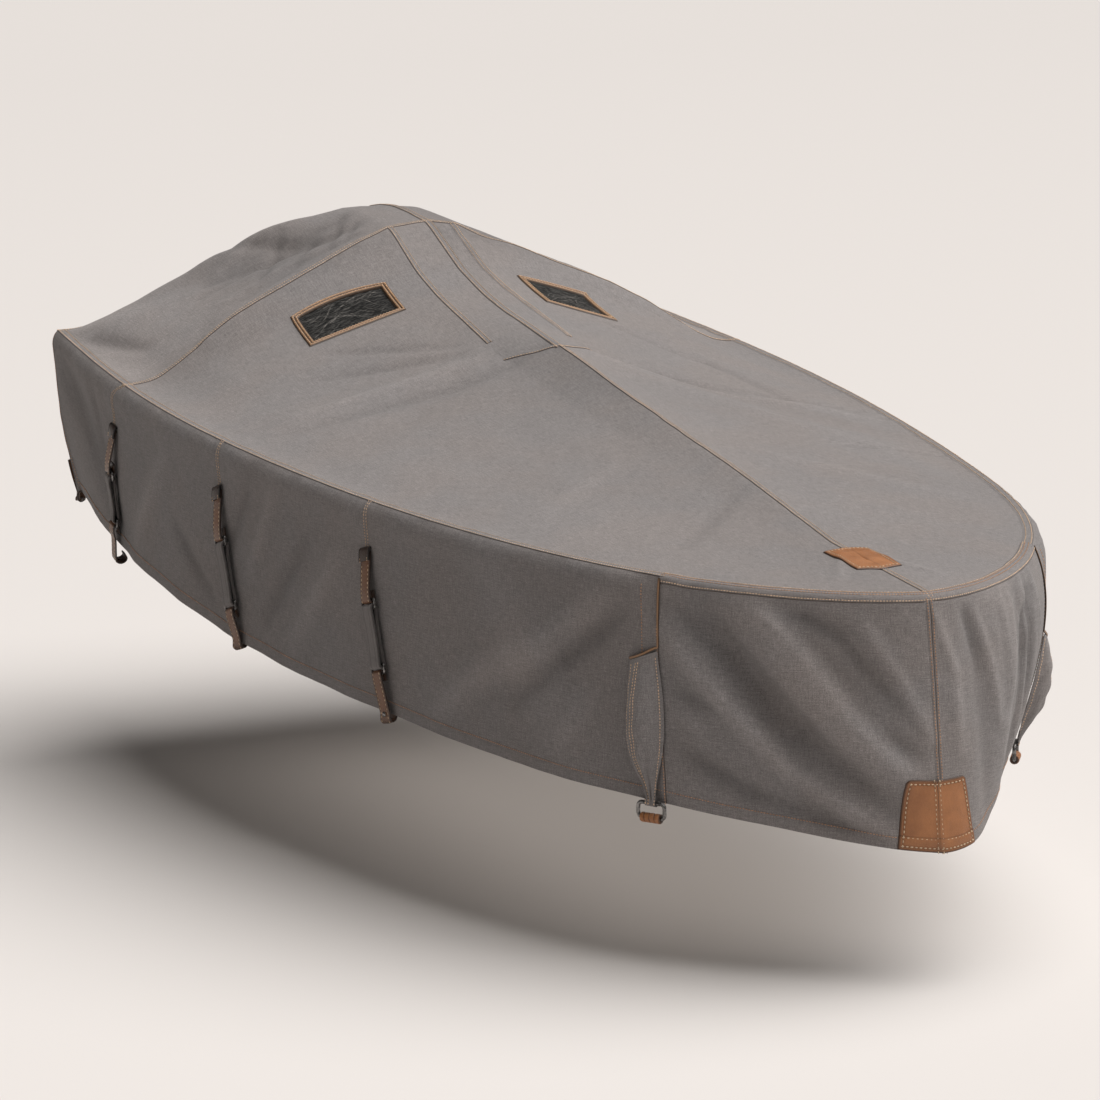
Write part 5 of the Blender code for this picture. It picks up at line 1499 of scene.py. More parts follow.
# across a web's padded leaf, as across a strip
WEB_FACE = ((-1.0, 0.35, 0.7), (-0.96, 0.80, 0.45), (-0.86, 1.0, 0.1), (-0.66, 1.05, 0.0), (-0.50, 0.86, 0.3),
            (-0.34, 1.06, 0.0), (0.0, 1.12, 0.0), (0.34, 1.06, 0.0), (0.50, 0.86, 0.3), (0.66, 1.05, 0.0),
            (0.86, 1.0, 0.1), (0.96, 0.80, 0.45), (1.0, 0.35, 0.7))


def round_wire(depth, radius, way=1, out=LOOP_OUT):
    """A path under a wire, from its outer side to its inner side, or the other way over it."""
    return [(depth + way * radius * math.cos(turn), out + radius * math.sin(turn))
            for turn in np.radians(TURN[::way])]


def turned_end(depths, lowest):
    """How thick a strap is towards its turned end, and how much darker it is there: wear, and painted shade
    where it curls under.
    """
    share = near(depths - lowest, 0.009)
    return STRIP_THICK + 0.0028 * share, 0.75 * share


def add_strap(cloth, stem, rim_along, lean, hang):
    """A leather strip, a steel loop, a padded doubled web, a second loop, and a tail turned under the hem."""
    drop = cloth.drop_at(rim_along)
    wrap, web_wrap = (WIRE + WRAP_GAP + thickness / 2 for thickness in (STRIP_THICK, WEB_THICK))
    front, back = LOOP_OUT + wrap, LOOP_OUT - wrap
    web_top = UPPER_LOOP + LOOP_HEIGHT
    web_end = min(LOWER_LOOP, drop - LOWER_LOOP_OVER_HEM)
    tail_top = web_end + LOOP_HEIGHT
    tilt = math.hypot(1.0, lean)

    def place(depth, out, aside=0.0):
        along = rim_along + lean * (min(depth, drop) - TAB_DEPTH)
        return cloth.on_skirt(along + aside / tilt, depth - aside * lean / tilt, out)

    def beside(depth, out):
        return place(depth, out, 0.01) - place(depth, out, -0.01)

    def strap(smooth, ending, *sizes, **rest):
        middles, sides = placed((place(*at), beside(*at)) for at in smooth)
        return add_strip(stem + ending, middles, sides, *sizes, **rest)

    strip = [(TAB_DEPTH - 0.004, 0.0034), (TAB_DEPTH + 0.014, 0.0062), (0.146, 0.0104), (0.166, 0.0140),
             (0.184, front - 0.0012), *round_wire(UPPER_LOOP, wrap), (UPPER_LOOP - 0.018, back)]
    sewn = strap(curve_through(strip, 2), "_strip_leather", STRAP_WIDTH, STRIP_THICK, "Strap Leather",
                 "leather", [stem + "_strip"])
    rows = [(places[3:12], outs[3:12]) for places, outs in sewn]

    middle = (web_top + web_end) / 2
    web = [(web_end - 0.010, LOOP_OUT + web_wrap - 0.0008), *round_wire(web_end, web_wrap),
           (web_end - 0.014, LOOP_OUT - 0.0046), (middle, LOOP_OUT - 0.0034),
           (web_top + 0.014, LOOP_OUT - 0.0046),
           *round_wire(web_top, web_wrap, -1), (web_top + 0.012, LOOP_OUT + web_wrap),
           (middle - 0.02, LOOP_OUT + 0.0052), (middle + 0.02, LOOP_OUT + 0.0048)]
    strap(curve_through([*web, web[0]], 2)[:-1], "_web_cloth", WEB_WIDTH, WEB_THICK, "Webbing", "webbing",
          [stem + "_web"], closed=True, face=WEB_FACE)

    lowest = drop + hang
    tail = [(tail_top + 0.016, back), *round_wire(tail_top, wrap, -1), (tail_top + 0.014, front - 0.0004),
            (drop - 0.010, 0.0122)]
    if hang > OPEN_TAIL:
        tail += [(lowest - 0.014, 0.0112), (lowest - 0.004, 0.0078), (lowest - 0.0015, 0.0005),
                 (lowest - 0.004, -0.0080), (lowest - 0.011, -0.0125), (lowest - 0.019, -0.0095)]
    else:
        tail += [(lowest - 0.013, 0.0105), (lowest - 0.005, 0.0085), (lowest - 0.002, 0.0030),
                 (lowest - 0.005, -0.0030), (lowest - 0.013, -0.0064), (drop - 0.004, -0.0078)]
    smooth = curve_through(tail, 3)
    thick, worn = turned_end(smooth[:, 0], lowest)
    sewn = strap(smooth, "_tail_leather", STRAP_WIDTH, thick, "Strap Leather", "leather", [stem + "_tail"],
                 worn=worn)
    rows += [(places[27:40], outs[27:40]) for places, outs in sewn]

    tab = [(TAB_DEPTH - 0.013, 0.0030), (TAB_DEPTH - 0.010, 0.0064), (TAB_DEPTH - 0.002, 0.0088),
           (TAB_DEPTH + 0.008, 0.0102), (TAB_DEPTH + 0.013, 0.0104)]
    sewn = strap(curve_through(tab, 3), "_tab", STRAP_WIDTH * 1.12, 0.0044, "Dark Leather", "leather")
    tab_rows = [(places[-4:], outs[-4:]) for places, outs in sewn]

    for name, top_wire in (("upper", UPPER_LOOP), ("lower", web_end)):
        depth = top_wire + LOOP_HEIGHT / 2
        level = unit(beside(depth, LOOP_OUT))
        down = square_to(place(top_wire + LOOP_HEIGHT, LOOP_OUT) - place(top_wire, LOOP_OUT), level)
        add_loop(f"{stem}_loop_{name}", place(depth, LOOP_OUT), level, down, LOOP_WIDTH, LOOP_HEIGHT, WIRE)
    return rows, tab_rows


def add_stud(cloth):
    """The domed stud on the fore starboard strap's tail."""
    low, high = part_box("strap_fore_starboard_stud")
    middle = np.array((low + high) / 2)
    rim_along = cloth.along_of(STRAPS[-1][1])
    drop = cloth.drop_at(rim_along)
    along = rim_along + STRAPS[-1][2] * (drop - TAB_DEPTH)
    beside = unit(cloth.on_skirt(along + 0.01, drop - 0.02, 0) - cloth.on_skirt(along - 0.01, drop - 0.02, 0))
    down = square_to(cloth.on_skirt(along, drop - 0.01, 0) - cloth.on_skirt(along, drop - 0.03, 0), beside)
    out = np.cross(beside, down)
    out *= -np.sign(out[1])
    profile = ((0.0056, -0.0016), (0.0057, -0.0004), (0.0050, 0.0006), (0.0036, 0.0013), (0.0018, 0.0017))
    rings = [ring_about(middle + out * height, radius, beside, down, 20) for radius, height in profile]
    add_steel("strap_fore_starboard_stud", rings, ring_faces(len(rings), 20))


def add_corner_strap(cloth):
    """The short strap bent round the starboard corner, with its end turned into an open loop."""
    rim_along = cloth.along[0] - CORNER_STRAP_IN
    drop = cloth.drops[0]
    lowest = drop + 0.021
    smooth = curve_through([
        (0.300, 0.0030), (0.325, 0.0042), (drop - 0.012, 0.0082), (lowest - 0.014, 0.0092),
        (lowest - 0.004, 0.0066), (lowest - 0.001, 0.0), (lowest - 0.005, -0.0075), (lowest - 0.013, -0.0095),
        (lowest - 0.020, -0.0060)], 5)
    middles, sides = placed((cloth.on_skirt(rim_along, *at),
                             cloth.on_skirt(rim_along + 0.01, *at) - cloth.on_skirt(rim_along - 0.01, *at))
                            for at in smooth)
    thick, worn = turned_end(smooth[:, 0], lowest)
    # kept darker all along, and darkest at its curled end
    sewn = add_strip("strap_corner_starboard_leather", middles, sides, STRAP_WIDTH * 0.58, thick,
                     "Strap Leather", "leather", ["strap_corner_starboard"], worn=np.clip(worn, 0.35, 1))
    return [(places[:-20], outs[:-20]) for places, outs in sewn]


# ---- pleat flaps -------------------------------------------------------------------------------
FLAP = (
    (0.00, 0.033, 0.010, 0.0035, 0.0040, 0.000),
    (0.11, 0.037, 0.020, 0.0035, 0.0045, 0.000),
    (0.28, 0.042, 0.033, 0.0035, 0.0060, 0.000),
    (0.47, 0.044, 0.039, 0.0040, 0.0080, -0.002),
    (0.63, 0.039, 0.037, 0.0048, 0.0120, -0.003),
    (0.77, 0.027, 0.028, 0.0068, 0.0150, -0.001),
    (0.88, 0.016, 0.019, 0.0110, 0.0150, 0.004),
    (0.96, 0.012, 0.0165, 0.0155, 0.0155, 0.006),
)
FLAP_TOPS = {"starboard": 0.355, "port": 0.480}
FLAP_SLOPE = 0.014
FLAP_IN = 0.034
FLAP_LOOP_WIDTH = 0.064
FLAP_LOOP_HEIGHT = 0.031
FLAP_LOOP_OUT = 0.0115
FLAP_LOOP_UNDER_HEM = 0.001
FLAP_THICK = 0.003
FLAP_WIRE = 0.0042
BINDING_WIDTH = 0.0056
BINDING_START = 0.004
FLAP_ROWS = (3, 10, 13, 30)   # stitched lines down the flap, from its sternward edge
ROLL_RADIUS = 0.0100
ROLL_HALF = 0.0245
ROLL_TURNS = 4.0


def add_flap(cloth, name, side):
    """The pleat's flap, gathered into a steel loop under the hem, with its binding and leather roll."""
    edge = side * -cloth.along_of(PLEAT)
    drop = cloth.drop_at(edge)
    wrap = FLAP_WIRE + WRAP_GAP + FLAP_THICK / 2
    top_wire = drop + FLAP_LOOP_UNDER_HEM
    centre_along = edge + side * FLAP_IN
    top_depth = FLAP_TOPS[name] * drop
    downs, *columns = zip(*FLAP)
    curves = [steady_curve(downs, column) for column in columns]
    us = np.linspace(-1, 1, 33)
    rows = []
    for down in np.linspace(0, downs[-1], 46):
        half_width, middle_out, bow_edge_out, aft_edge_out, shift = (float(curve(down)) for curve in curves)
        gather = ramp(down, 0.30, 0.5) ** 1.5
        row = []
        for u in us:
            edge_out = aft_edge_out if side * u > 0 else bow_edge_out
            out = edge_out + (middle_out - edge_out) * (1 - u * u)
            out += 0.0026 * gather * math.cos(u * 11.0 + 0.6 * math.sin(down * 7)) * (1 - u ** 6)
            out += 0.0014 * math.sin(down * 31 + u * 5) * math.sin(down * math.pi) * (1 - u ** 4)
            out -= 0.0022 * near(abs(u) - 0.80, 0.09) * min(1.0, down * 8)
            depth = top_depth + down * (drop - top_depth) + FLAP_SLOPE * side * u * (1 - down) ** 2
            row.append(cloth.on_skirt(centre_along + u * half_width - side * shift, depth, out))
        rows.append(row)
    end_half, end_shift = FLAP[-1][1], side * FLAP[-1][5]
    behind = FLAP_LOOP_OUT - wrap
    for depth, out in [*round_wire(top_wire, wrap, out=FLAP_LOOP_OUT), (top_wire - 0.008, behind),
                       (top_wire - 0.016, behind)]:
        rows.append([cloth.on_skirt(centre_along + u * end_half - end_shift, depth,
                                    out + 0.0005 * math.cos(u * 12)) for u in us])
    grid = np.array(rows)
    flap = layered(f"pleat_flap_{name}_canvas", grid, FLAP_THICK * 0.8)
    finish_piece(flap, "Canvas", [f"pleat_flap_{name}"], sharp=50)
    facing = unit(np.cross(np.gradient(grid, axis=0), np.gradient(grid, axis=1)))
    if facing[20, 16] @ np.array([0.3, grid[20, 16, 1], 0.0]) < 0:
        facing = -facing
    columns = [u if side < 0 else len(us) - 1 - u for u in FLAP_ROWS]
    sewn = [(grid[2:47, u] + facing[2:47, u] * FLAP_THICK * 0.45, facing[2:47, u]) for u in columns]

    _, top_half, top_out, _, top_aft_out, _ = FLAP[0]
    turn_depth = top_depth - FLAP_SLOPE - BINDING_WIDTH / 2 - 0.0012
    height = 0.0010 + TRIM / 2
    smooth = curve_through([
        (edge, BINDING_START, height), (edge, 0.05, height), (edge, 0.09, height),
        (edge, turn_depth - 0.012, height), (edge + side * 0.002, turn_depth - 0.003, height),
        (edge + side * 0.010, turn_depth, height + 0.001), (centre_along, turn_depth + FLAP_SLOPE, top_out),
        (centre_along + side * top_half * 0.7, turn_depth + FLAP_SLOPE * 1.7, (top_out + top_aft_out) / 2),
        (centre_along + side * (top_half + 0.002), turn_depth + FLAP_SLOPE * 2, top_aft_out)], 8)
    asides = unit(np.gradient(smooth[:, :2], axis=0)) * 0.003
    middles, sides = placed((cloth.on_skirt(a, d, o),
                             cloth.on_skirt(a - y, d + x, o) - cloth.on_skirt(a + y, d - x, o))
                            for (a, d, o), (x, y) in zip(smooth, asides))
    (one, outs), (other, _) = add_strip(f"pleat_binding_{name}_leather", middles, sides, BINDING_WIDTH,
                                        TRIM * 1.2, "Binding", "binding", [f"pleat_binding_{name}"])
    binding_row = ((one + other) / 2 + outs * 0.0006, outs)

    beside = (cloth.on_skirt(centre_along + 0.01, drop * 0.95, 0)
              - cloth.on_skirt(centre_along - 0.01, drop * 0.95, 0))
    beside = unit(beside * (1.0, 1.0, 0.0))
    half_loop = np.array([0.0, 0.0, -FLAP_LOOP_HEIGHT / 2])
    centre = cloth.on_skirt(centre_along - end_shift, top_wire, FLAP_LOOP_OUT) + half_loop
    add_loop(f"pleat_loop_{name}", centre, beside, np.array([0.0, 0.0, -1.0]), FLAP_LOOP_WIDTH,
             FLAP_LOOP_HEIGHT, FLAP_WIRE, 12)
    add_roll(name, centre + half_loop, beside)
    return sewn, binding_row


ROLL_SIDES = 30
def add_roll(name, centre, axis):
    """A strip of leather wound in several turns round the loop's lower wire."""
    side = unit(np.cross(axis, (0.0, 0.0, 1.0)))
    up = np.cross(side, axis)
    rings, grime = [], []
    for s in np.linspace(0, 1, 65):
        phase = (s * ROLL_TURNS + np.arange(ROLL_SIDES) / ROLL_SIDES) % 1.0
        groove = near(np.minimum(phase, 1 - phase), 0.07)
        end = min(s, 1 - s) * 2 * ROLL_HALF
        radius = ROLL_RADIUS - 0.0016 * groove - 0.0018 * near(end, 0.0012) + 0.0003 * np.sin(phase * math.pi)
        rings.append(ring_about(centre + axis * (2 * s - 1) * ROLL_HALF, radius, side, up, ROLL_SIDES))
        # painted shade in the grooves between the turns and at the roll's ends
        grime.append(np.minimum(1.0, groove + near(end, 0.0015)))
    for s in (1.0, -1.0):
        rings.append(ring_about(centre + axis * s * ROLL_HALF, FLAP_WIRE + WRAP_GAP, side, up, ROLL_SIDES))
        grime.append(np.ones(ROLL_SIDES))
    points = np.concatenate(rings)
    add_body(f"pleat_roll_{name}_leather", points, ring_faces(len(rings), ROLL_SIDES, closed=True),
             np.stack([points @ axis, points @ up], 1), grime, "Leather", [f"pleat_roll_{name}"])


# ---- vents -------------------------------------------------------------------------------------
# across a vent's frame from its outer edge: margin, height and darkening (painted shadow lines at its edges
# and in its grooves), in millimetres
FRAME_FACE = ((0.0, 0.15, 1.0), (1.0, 1.2, 1.0), (2.2, 2.4, 0.9), (3.0, 3.2, 0.1), (4.6, 3.6, 0.0),
              (6.0, 3.1, 0.1), (6.9, 2.1, 0.9), (8.0, 1.6, 1.0), (9.3, 2.0, 0.9), (10.4, 3.2, 0.1),
              (12.0, 3.7, 0.0), (13.6, 3.1, 0.1), (14.5, 2.1, 0.9), (16.2, 0.8, 1.0), (17.4, -1.4, 1.0))
FRAME_STITCHES = (4.6, 12.0)


def add_vent(cloth, name, side):
    """A window of crinkled black mesh in a piped frame. Returns the frame's stitch rows."""
    def ring_at(margin, height):
        return placed(cloth.over_deck(*place, height) for place in vent_ring(side, margin / 1000))

    margins, heights, dirt_and_shade_values = (list(column) for column in zip(*FRAME_FACE))
    rings = [ring_at(margin, height / 1000 + 0.0006)[0] for margin, height in zip(margins, heights)]
    grid = np.stack(rings + [ring_at(17.4, -0.0026)[0], ring_at(3.0, 0.0002)[0]], 1)
    count, sides = grid.shape[:2]
    layout = layout_of(np.arange(count) * 0.009, np.array(margins + [17.0, 3.0]) / 1000)
    # painted shade: dark along the frame's edges, in its grooves and on its underside
    add_body(f"vent_frame_{name}_piping", grid, ring_faces(count, sides, closed=True), layout,
             np.tile(dirt_and_shade_values + [1.0, 1.0], count), "Piping", [f"vent_frame_{name}"], sharp=50)

    _, _, width, height = VENTS[side]
    us = np.linspace(MESH_IN / width, 1 - MESH_IN / width, 120)
    vs = np.linspace(MESH_IN / height, 1 - MESH_IN / height, 84)
    flat = np.stack(np.meshgrid(us * width, vs * height), 2)
    crinkle, ridge = crinkles(flat, 5 if side < 0 else 11)
    rim = np.minimum((np.minimum(vs, 1 - vs) * height)[:, None], np.minimum(us, 1 - us) * width)
    free = ramp(rim, MESH_IN, 0.010)
    grid = [[cloth.over_deck(*vent_place(side, u, v), -0.0012 + lift)[0] for u, lift in zip(us, lifts)]
            for v, lifts in zip(vs, crinkle * free)]
    thing = plain_object(f"vent_mesh_{name}_cloth", grid, sheet_faces(*free.shape))
    set_values(thing.data, flat, ridge=ridge * free)
    with_settings(thing.modifiers.new("Thickness", "SOLIDIFY"), thickness=0.001, offset=-1.0)
    finish_piece(turned_out(bake_modifiers(thing)), "Vent Mesh", [f"vent_mesh_{name}"])
    return [looped(ring_at(margin, height_at(FRAME_FACE, margin) + 0.0009)) for margin in FRAME_STITCHES]


def crinkles(flat, seed):
    """The heights of a hard-creased cloth and its sharp crease lines."""
    dice = np.random.default_rng(seed)
    height = np.zeros(flat.shape[:2])
    ridge = np.zeros(flat.shape[:2])
    for _ in range(44):
        turn = dice.uniform(0.25, 1.0) * (1 if dice.random() < 0.65 else -1)
        way = np.array([math.cos(turn + math.pi / 2), math.sin(turn + math.pi / 2)])
        crest = np.array([way[1], -way[0]])
        from_centre = flat - dice.uniform(0, 1, 2) * flat[-1, -1]
        wander = np.sin((flat @ crest) * dice.uniform(40, 90) + dice.uniform(0, 6))
        off = from_centre @ way + 0.004 * wander
        reach = near(from_centre @ crest, dice.uniform(0.012, 0.045))
        strength = dice.uniform(0.25, 1.0)
        height += strength * 0.0009 * np.exp(-np.abs(off) / 0.003) * reach
        ridge += strength * near(off, 0.0009) * reach
    return height - height.mean(), np.clip(ridge, 0, 1)


# ---- patches -----------------------------------------------------------------------------------
FORE_PATCH = (0.376, 0.220)
FORE_PATCH_POINT = 0.012
FORE_PATCH_HALF = 0.051
BOW_PATCH_TOP = 0.378
BOW_PATCH_HALVES = (0.050, 0.062, 0.068, 0.074, 0.079, 0.083)
BOW_PATCH_STEPS = (0.0, 0.05, 0.20, 0.48, 0.76, 1.0)
BOW_PATCH_SHIFT = -0.004
PATCH_EDGE = 0.009        # from a patch's edge to its stitches
BOW_PATCH_BAND = 0.030    # from the patch's foot to its upper row


def add_patch(name, us, ts, cell):
    """A leather patch from its cells, each its face, its underside, its layout and its darkening."""
    front, back, layout, grime = placed(cell(u, t) for t in ts for u in us)
    count = len(front)
    face = sheet_faces(len(ts), len(us))
    ids = np.arange(count).reshape(len(ts), len(us))
    border = [*ids[0], *ids[1:, -1], *ids[-1, -2::-1], *ids[-2:0:-1, 0]]
    faces = [*np.stack([face, face[:, ::-1] + count], 1).reshape(-1, 4),
             *([a, b, b + count, a + count] for a, b in zip(border, border[1:] + border[:1]))]
    # the underside painted dark, which shades the patch's thin edge walls
    add_body(name + "_leather", np.concatenate([front, back]), faces, np.concatenate([layout, layout]),
             np.concatenate([np.clip(grime, 0, 1), np.ones(count)]), "Leather", [name], sharp=50)


def patch_height(from_edge, thickness):
    """A leather patch's face: eased at its edge, sunk along its stitches."""
    sunk = near(from_edge - PATCH_EDGE, 0.0016)
    return (0.0004 + thickness * (1 - near(from_edge, 0.0011)) - 0.0008 * sunk
            + 0.0016 * ramp(from_edge, 0.010, 0.02))


def add_fore_patch(cloth):
    """The small leather patch across the foredeck's ridge. Returns its stitch rows."""
    length = FORE_PATCH[0] - FORE_PATCH[1]

    def at(u, t, height):
        point = FORE_PATCH_POINT * (1 - abs(u)) * (1 - 2 * t)
        return cloth.over_deck(FORE_PATCH[0] - length * t + point, u * FORE_PATCH_HALF, height)

    def cell(u, t):
        across = u * FORE_PATCH_HALF
        edge = min(FORE_PATCH_HALF * (1 - abs(u)), length * min(t, 1 - t))
        height = patch_height(edge, 0.0024) + 0.0008 + 0.0009 * near(across, 0.006)
        # darker at the burnished edge; painted shade along the sunk stitch line and beside the raised middle
        grime = (near(edge, 0.0030) + 0.30 * near(edge - PATCH_EDGE, 0.0018)
                 + 0.5 * near(across - 0.004, 0.0009))
        return at(u, t, height)[0], at(u, t, 0.0003)[0], (t * length, across), grime

    us = [-1, -0.985, -0.95, *np.linspace(-0.90, 0.90, 41), 0.95, 0.985, 1]
    ts = [0, 0.005, 0.018, *np.linspace(0.035, 0.965, 44), 0.982, 0.995, 1]
    add_patch("foredeck_patch", us, ts, cell)
    u = 1 - PATCH_EDGE / FORE_PATCH_HALF
    t = PATCH_EDGE / length
    corners = [(-u, t), (0, t), (u, t), (u, 1 - t), (0, 1 - t), (-u, 1 - t), (-u, t)]
    rows = [placed(at(u1 + (u2 - u1) * s, t1 + (t2 - t1) * s, 0.0034) for s in np.linspace(0, 1, 9))
            for (u1, t1), (u2, t2) in zip(corners, corners[1:])]
    return rows + [placed(at(0.055, t, 0.0042) for t in np.linspace(0.02, 0.98, 20))]


def add_bow_patch(cloth):
    """The leather patch at the foot of the bow's seam, with its foot band. Returns its stitch rows."""
    drop = cloth.drop_at(0.0)
    height = drop - BOW_PATCH_TOP
    marks = [BOW_PATCH_TOP + height * step for step in BOW_PATCH_STEPS]
    half_of = steady_curve(marks, BOW_PATCH_HALVES)
    corner = 0.014

    def place(u, t):
        depth = BOW_PATCH_TOP + height * t
        half = float(half_of(depth)) if t > 0.1 else float(np.interp(depth, marks, BOW_PATCH_HALVES))
        if depth - BOW_PATCH_TOP < corner:
            reach = corner - (depth - BOW_PATCH_TOP)
            inset = corner - math.sqrt(max(0.0, corner ** 2 - reach ** 2))
            half = float(half_of(BOW_PATCH_TOP + corner)) - inset
        along = BOW_PATCH_SHIFT + u * half
        return *dressed(cloth, along, min(depth / drop, 0.9995) * cloth.drop_at(along)), half

    def cell(u, t):
        hit, normal, half = place(u, t)
        edge = min(half * (1 - abs(u)), height * min(t, 1 - t))
        seam = (u * half - BOW_PATCH_SHIFT) * 1000
        foot = height * (1 - t) - BOW_PATCH_BAND
        ridge = (0.0014 * math.exp(-(seam / 7.5) ** 4) - 0.0007 * near(abs(seam) - 5.2, 1.4)
                 - 0.0010 * near(seam, 0.8))
        fold = 0.0009 / (1 + math.exp(foot / 0.0010)) - 0.0006 * near(foot + 0.003, 0.0014)
        # darker at the burnished edge and towards it; painted shade in the sunk stitch lines, the seam's
        # groove and the foot's crease
        grime = (near(edge, 0.0034) + 0.22 * math.exp(-edge / 0.014) + 0.30 * near(edge - PATCH_EDGE, 0.0020)
                 + 0.8 * near(seam, 1.0) + 0.5 * near(foot, 0.0012) + 0.25 * near(abs(seam) - 5.2, 1.6))
        face = max(0.0008, patch_height(edge, 0.0026) + ridge + fold)
        return hit + normal * face, hit + normal * 0.0003, (t * height, u * half), grime

    us = [-1, -0.988, -0.96, *np.linspace(-0.93, 0.93, 61), 0.96, 0.988, 1]
    ts = [0, 0.006, 0.02, *np.linspace(0.045, 0.965, 50), 0.985, 0.995, 1]
    add_patch("bow_patch", us, ts, cell)

    def row(line, lift):
        hits, normals, _ = placed(place(u, t) for u, t in line)
        normals = smooth_rows(normals, 2)
        return hits + normals * lift, normals

    inset = PATCH_EDGE / height
    width = np.linspace(-1, 1, 30)
    rows = [row([(u * (1 - PATCH_EDGE / half), t) for u in width], lift) for half, t, lift in (
        (0.062, inset, 0.0034), (0.085, 1 - inset, 0.0040),
        (0.082, 1 - (BOW_PATCH_BAND - 0.003) / height, 0.0040))]
    for side in (-1, 1):
        rows.append(row([(side * (1 - PATCH_EDGE / float(half_of(BOW_PATCH_TOP + height * t))), t)
                         for t in np.linspace(inset, 1 - inset, 30)], 0.0034))
        rows.append(row([((side * 0.0052 + BOW_PATCH_SHIFT) / float(half_of(BOW_PATCH_TOP + height * t)), t)
                         for t in np.linspace(0.01, 0.99, 30)], 0.0044))
    return rows


# ---- the stage ---------------------------------------------------------------------------------
CAMERA_TARGET = Vector((1.54008, 0.00029, 0.52799))      # the bow's rim point
CAMERA_AWAY = Vector((14.025, -7.073, 3.140))
CAMERA_LENS = 261.8
FLOOR_Z = -0.28
FILL_PLACE = (0.1, 0.0, 0.16)
FILL_SIZE = (2.2, 0.8)
LIGHT_FROM = (0.14, 0.46, 1.0)
LIGHT_SPREAD = math.radians(70)


WARM_WHITE = (1.0, 0.975, 0.95)
CAMERA_RIGHT = Vector((0.4067, 0.9135, 0.0))
CAMERA_BACK = Vector((0.8968, -0.3993, 0.1908))
def add_soft_light(strength):
    """One broad soft light from high on the port side, as a large overhead softbox gives."""
    thing = linked("Soft Light", with_settings(bpy.data.lights.new("Soft Light", "SUN"), energy=strength,
                                               angle=LIGHT_SPREAD, color=WARM_WHITE))
    thing.rotation_euler = Vector(LIGHT_FROM).to_track_quat("Z", "Y").to_euler()


def add_floor_fill(power):
    """A faint light under the cover, so that its shadow on the floor stays soft."""
    data = with_settings(bpy.data.lights.new("Floor Fill", "AREA"), shape="RECTANGLE", energy=power,
                         color=(1.0, 0.93, 0.86))
    data.size, data.size_y = FILL_SIZE
    linked("Floor Fill", data).location = FILL_PLACE


def add_camera():
    data = bpy.data.cameras.new("Camera")
    thing = linked("Camera", with_settings(data, lens=CAMERA_LENS, sensor_width=36.0, clip_end=100.0))
    back = CAMERA_BACK.normalized()
    up = back.cross(CAMERA_RIGHT.normalized()).normalized()
    turn = Matrix((up.cross(back), up, back)).transposed().to_4x4()
    thing.matrix_world = Matrix.Translation(CAMERA_TARGET + CAMERA_AWAY) @ turn
    bpy.context.scene.camera = thing


# ---- the add-on --------------------------------------------------------------------------------
class BoatCoverSettings(bpy.types.PropertyGroup):
    """Sizes and colours of the cover."""

    cell: bpy.props.FloatProperty(
        name="Cloth Cell", description="Size of the cloth's faces", default=0.0082, min=0.006,
        subtype="DISTANCE", unit="LENGTH")
    canvas_thickness: bpy.props.FloatProperty(
        name="Canvas Thickness", description="Thickness of the canvas", default=0.0018, min=0.001,
        subtype="DISTANCE", unit="LENGTH")
    weave_pitch: bpy.props.FloatProperty(
        name="Weave Pitch", description="Distance between the canvas's threads", default=0.0013, min=0.0005,
        subtype="DISTANCE", unit="LENGTH")
    stitch_pitch: bpy.props.FloatProperty(
        name="Stitch Pitch", description="Distance between two stitches of a seam", default=0.0064, min=0.002,
        subtype="DISTANCE", unit="LENGTH")
    stitch_length: bpy.props.FloatProperty(
        name="Stitch Length", description="Length of a seam's stitch", default=0.0052, min=0.001,
        subtype="DISTANCE", unit="LENGTH")
    thread_thickness: bpy.props.FloatProperty(
        name="Thread Thickness", description="Thickness of a seam's thread", default=0.0021, min=0.0005,
        subtype="DISTANCE", unit="LENGTH")
    canvas_colour: bpy.props.FloatVectorProperty(
        name="Canvas Colour", description="Colour of the canvas", default=(0.218, 0.197, 0.190),
        subtype="COLOR", min=0.0, max=1.0)
    leather_colour: bpy.props.FloatVectorProperty(
        name="Leather Colour", description="Colour of the leather trims", default=(0.322, 0.126, 0.043),
        subtype="COLOR", min=0.0, max=1.0)
    piping_colour: bpy.props.FloatVectorProperty(
        name="Piping Colour", description="Colour of the vents' piping and the bound edges",
        default=(0.46, 0.25, 0.125), subtype="COLOR", min=0.0, max=1.0)
    thread_colour: bpy.props.FloatVectorProperty(
        name="Thread Colour", description="Colour of the seams' thread", default=(0.74, 0.51, 0.33),
        subtype="COLOR", min=0.0, max=1.0)
    saddle_colour: bpy.props.FloatVectorProperty(
        name="Saddle Thread Colour", description="Colour of the thread on the leather",
        default=(0.62, 0.47, 0.31), subtype="COLOR", min=0.0, max=1.0)


class BoatCoverStage(bpy.types.PropertyGroup):
    """Floor and light of the studio."""

    floor_size: bpy.props.FloatProperty(
        name="Floor Size", description="Width of the floor", default=60.0, min=5.0, subtype="DISTANCE",
        unit="LENGTH")
    floor_colour: bpy.props.FloatVectorProperty(
        name="Floor Colour", description="Colour of the floor", default=(0.668, 0.640, 0.622),
        subtype="COLOR", min=0.0, max=1.0)
    light_strength: bpy.props.FloatProperty(
        name="Soft Light", description="Strength of the broad soft light", default=4.35, min=0.0)
    fill_power: bpy.props.FloatProperty(
        name="Floor Fill", description="Power of the faint light under the cover", default=3.2, min=0.0,
        subtype="POWER", unit="POWER")
    sky_strength: bpy.props.FloatProperty(
        name="Sky Light", description="Strength of the light from all round", default=0.08, min=0.0)


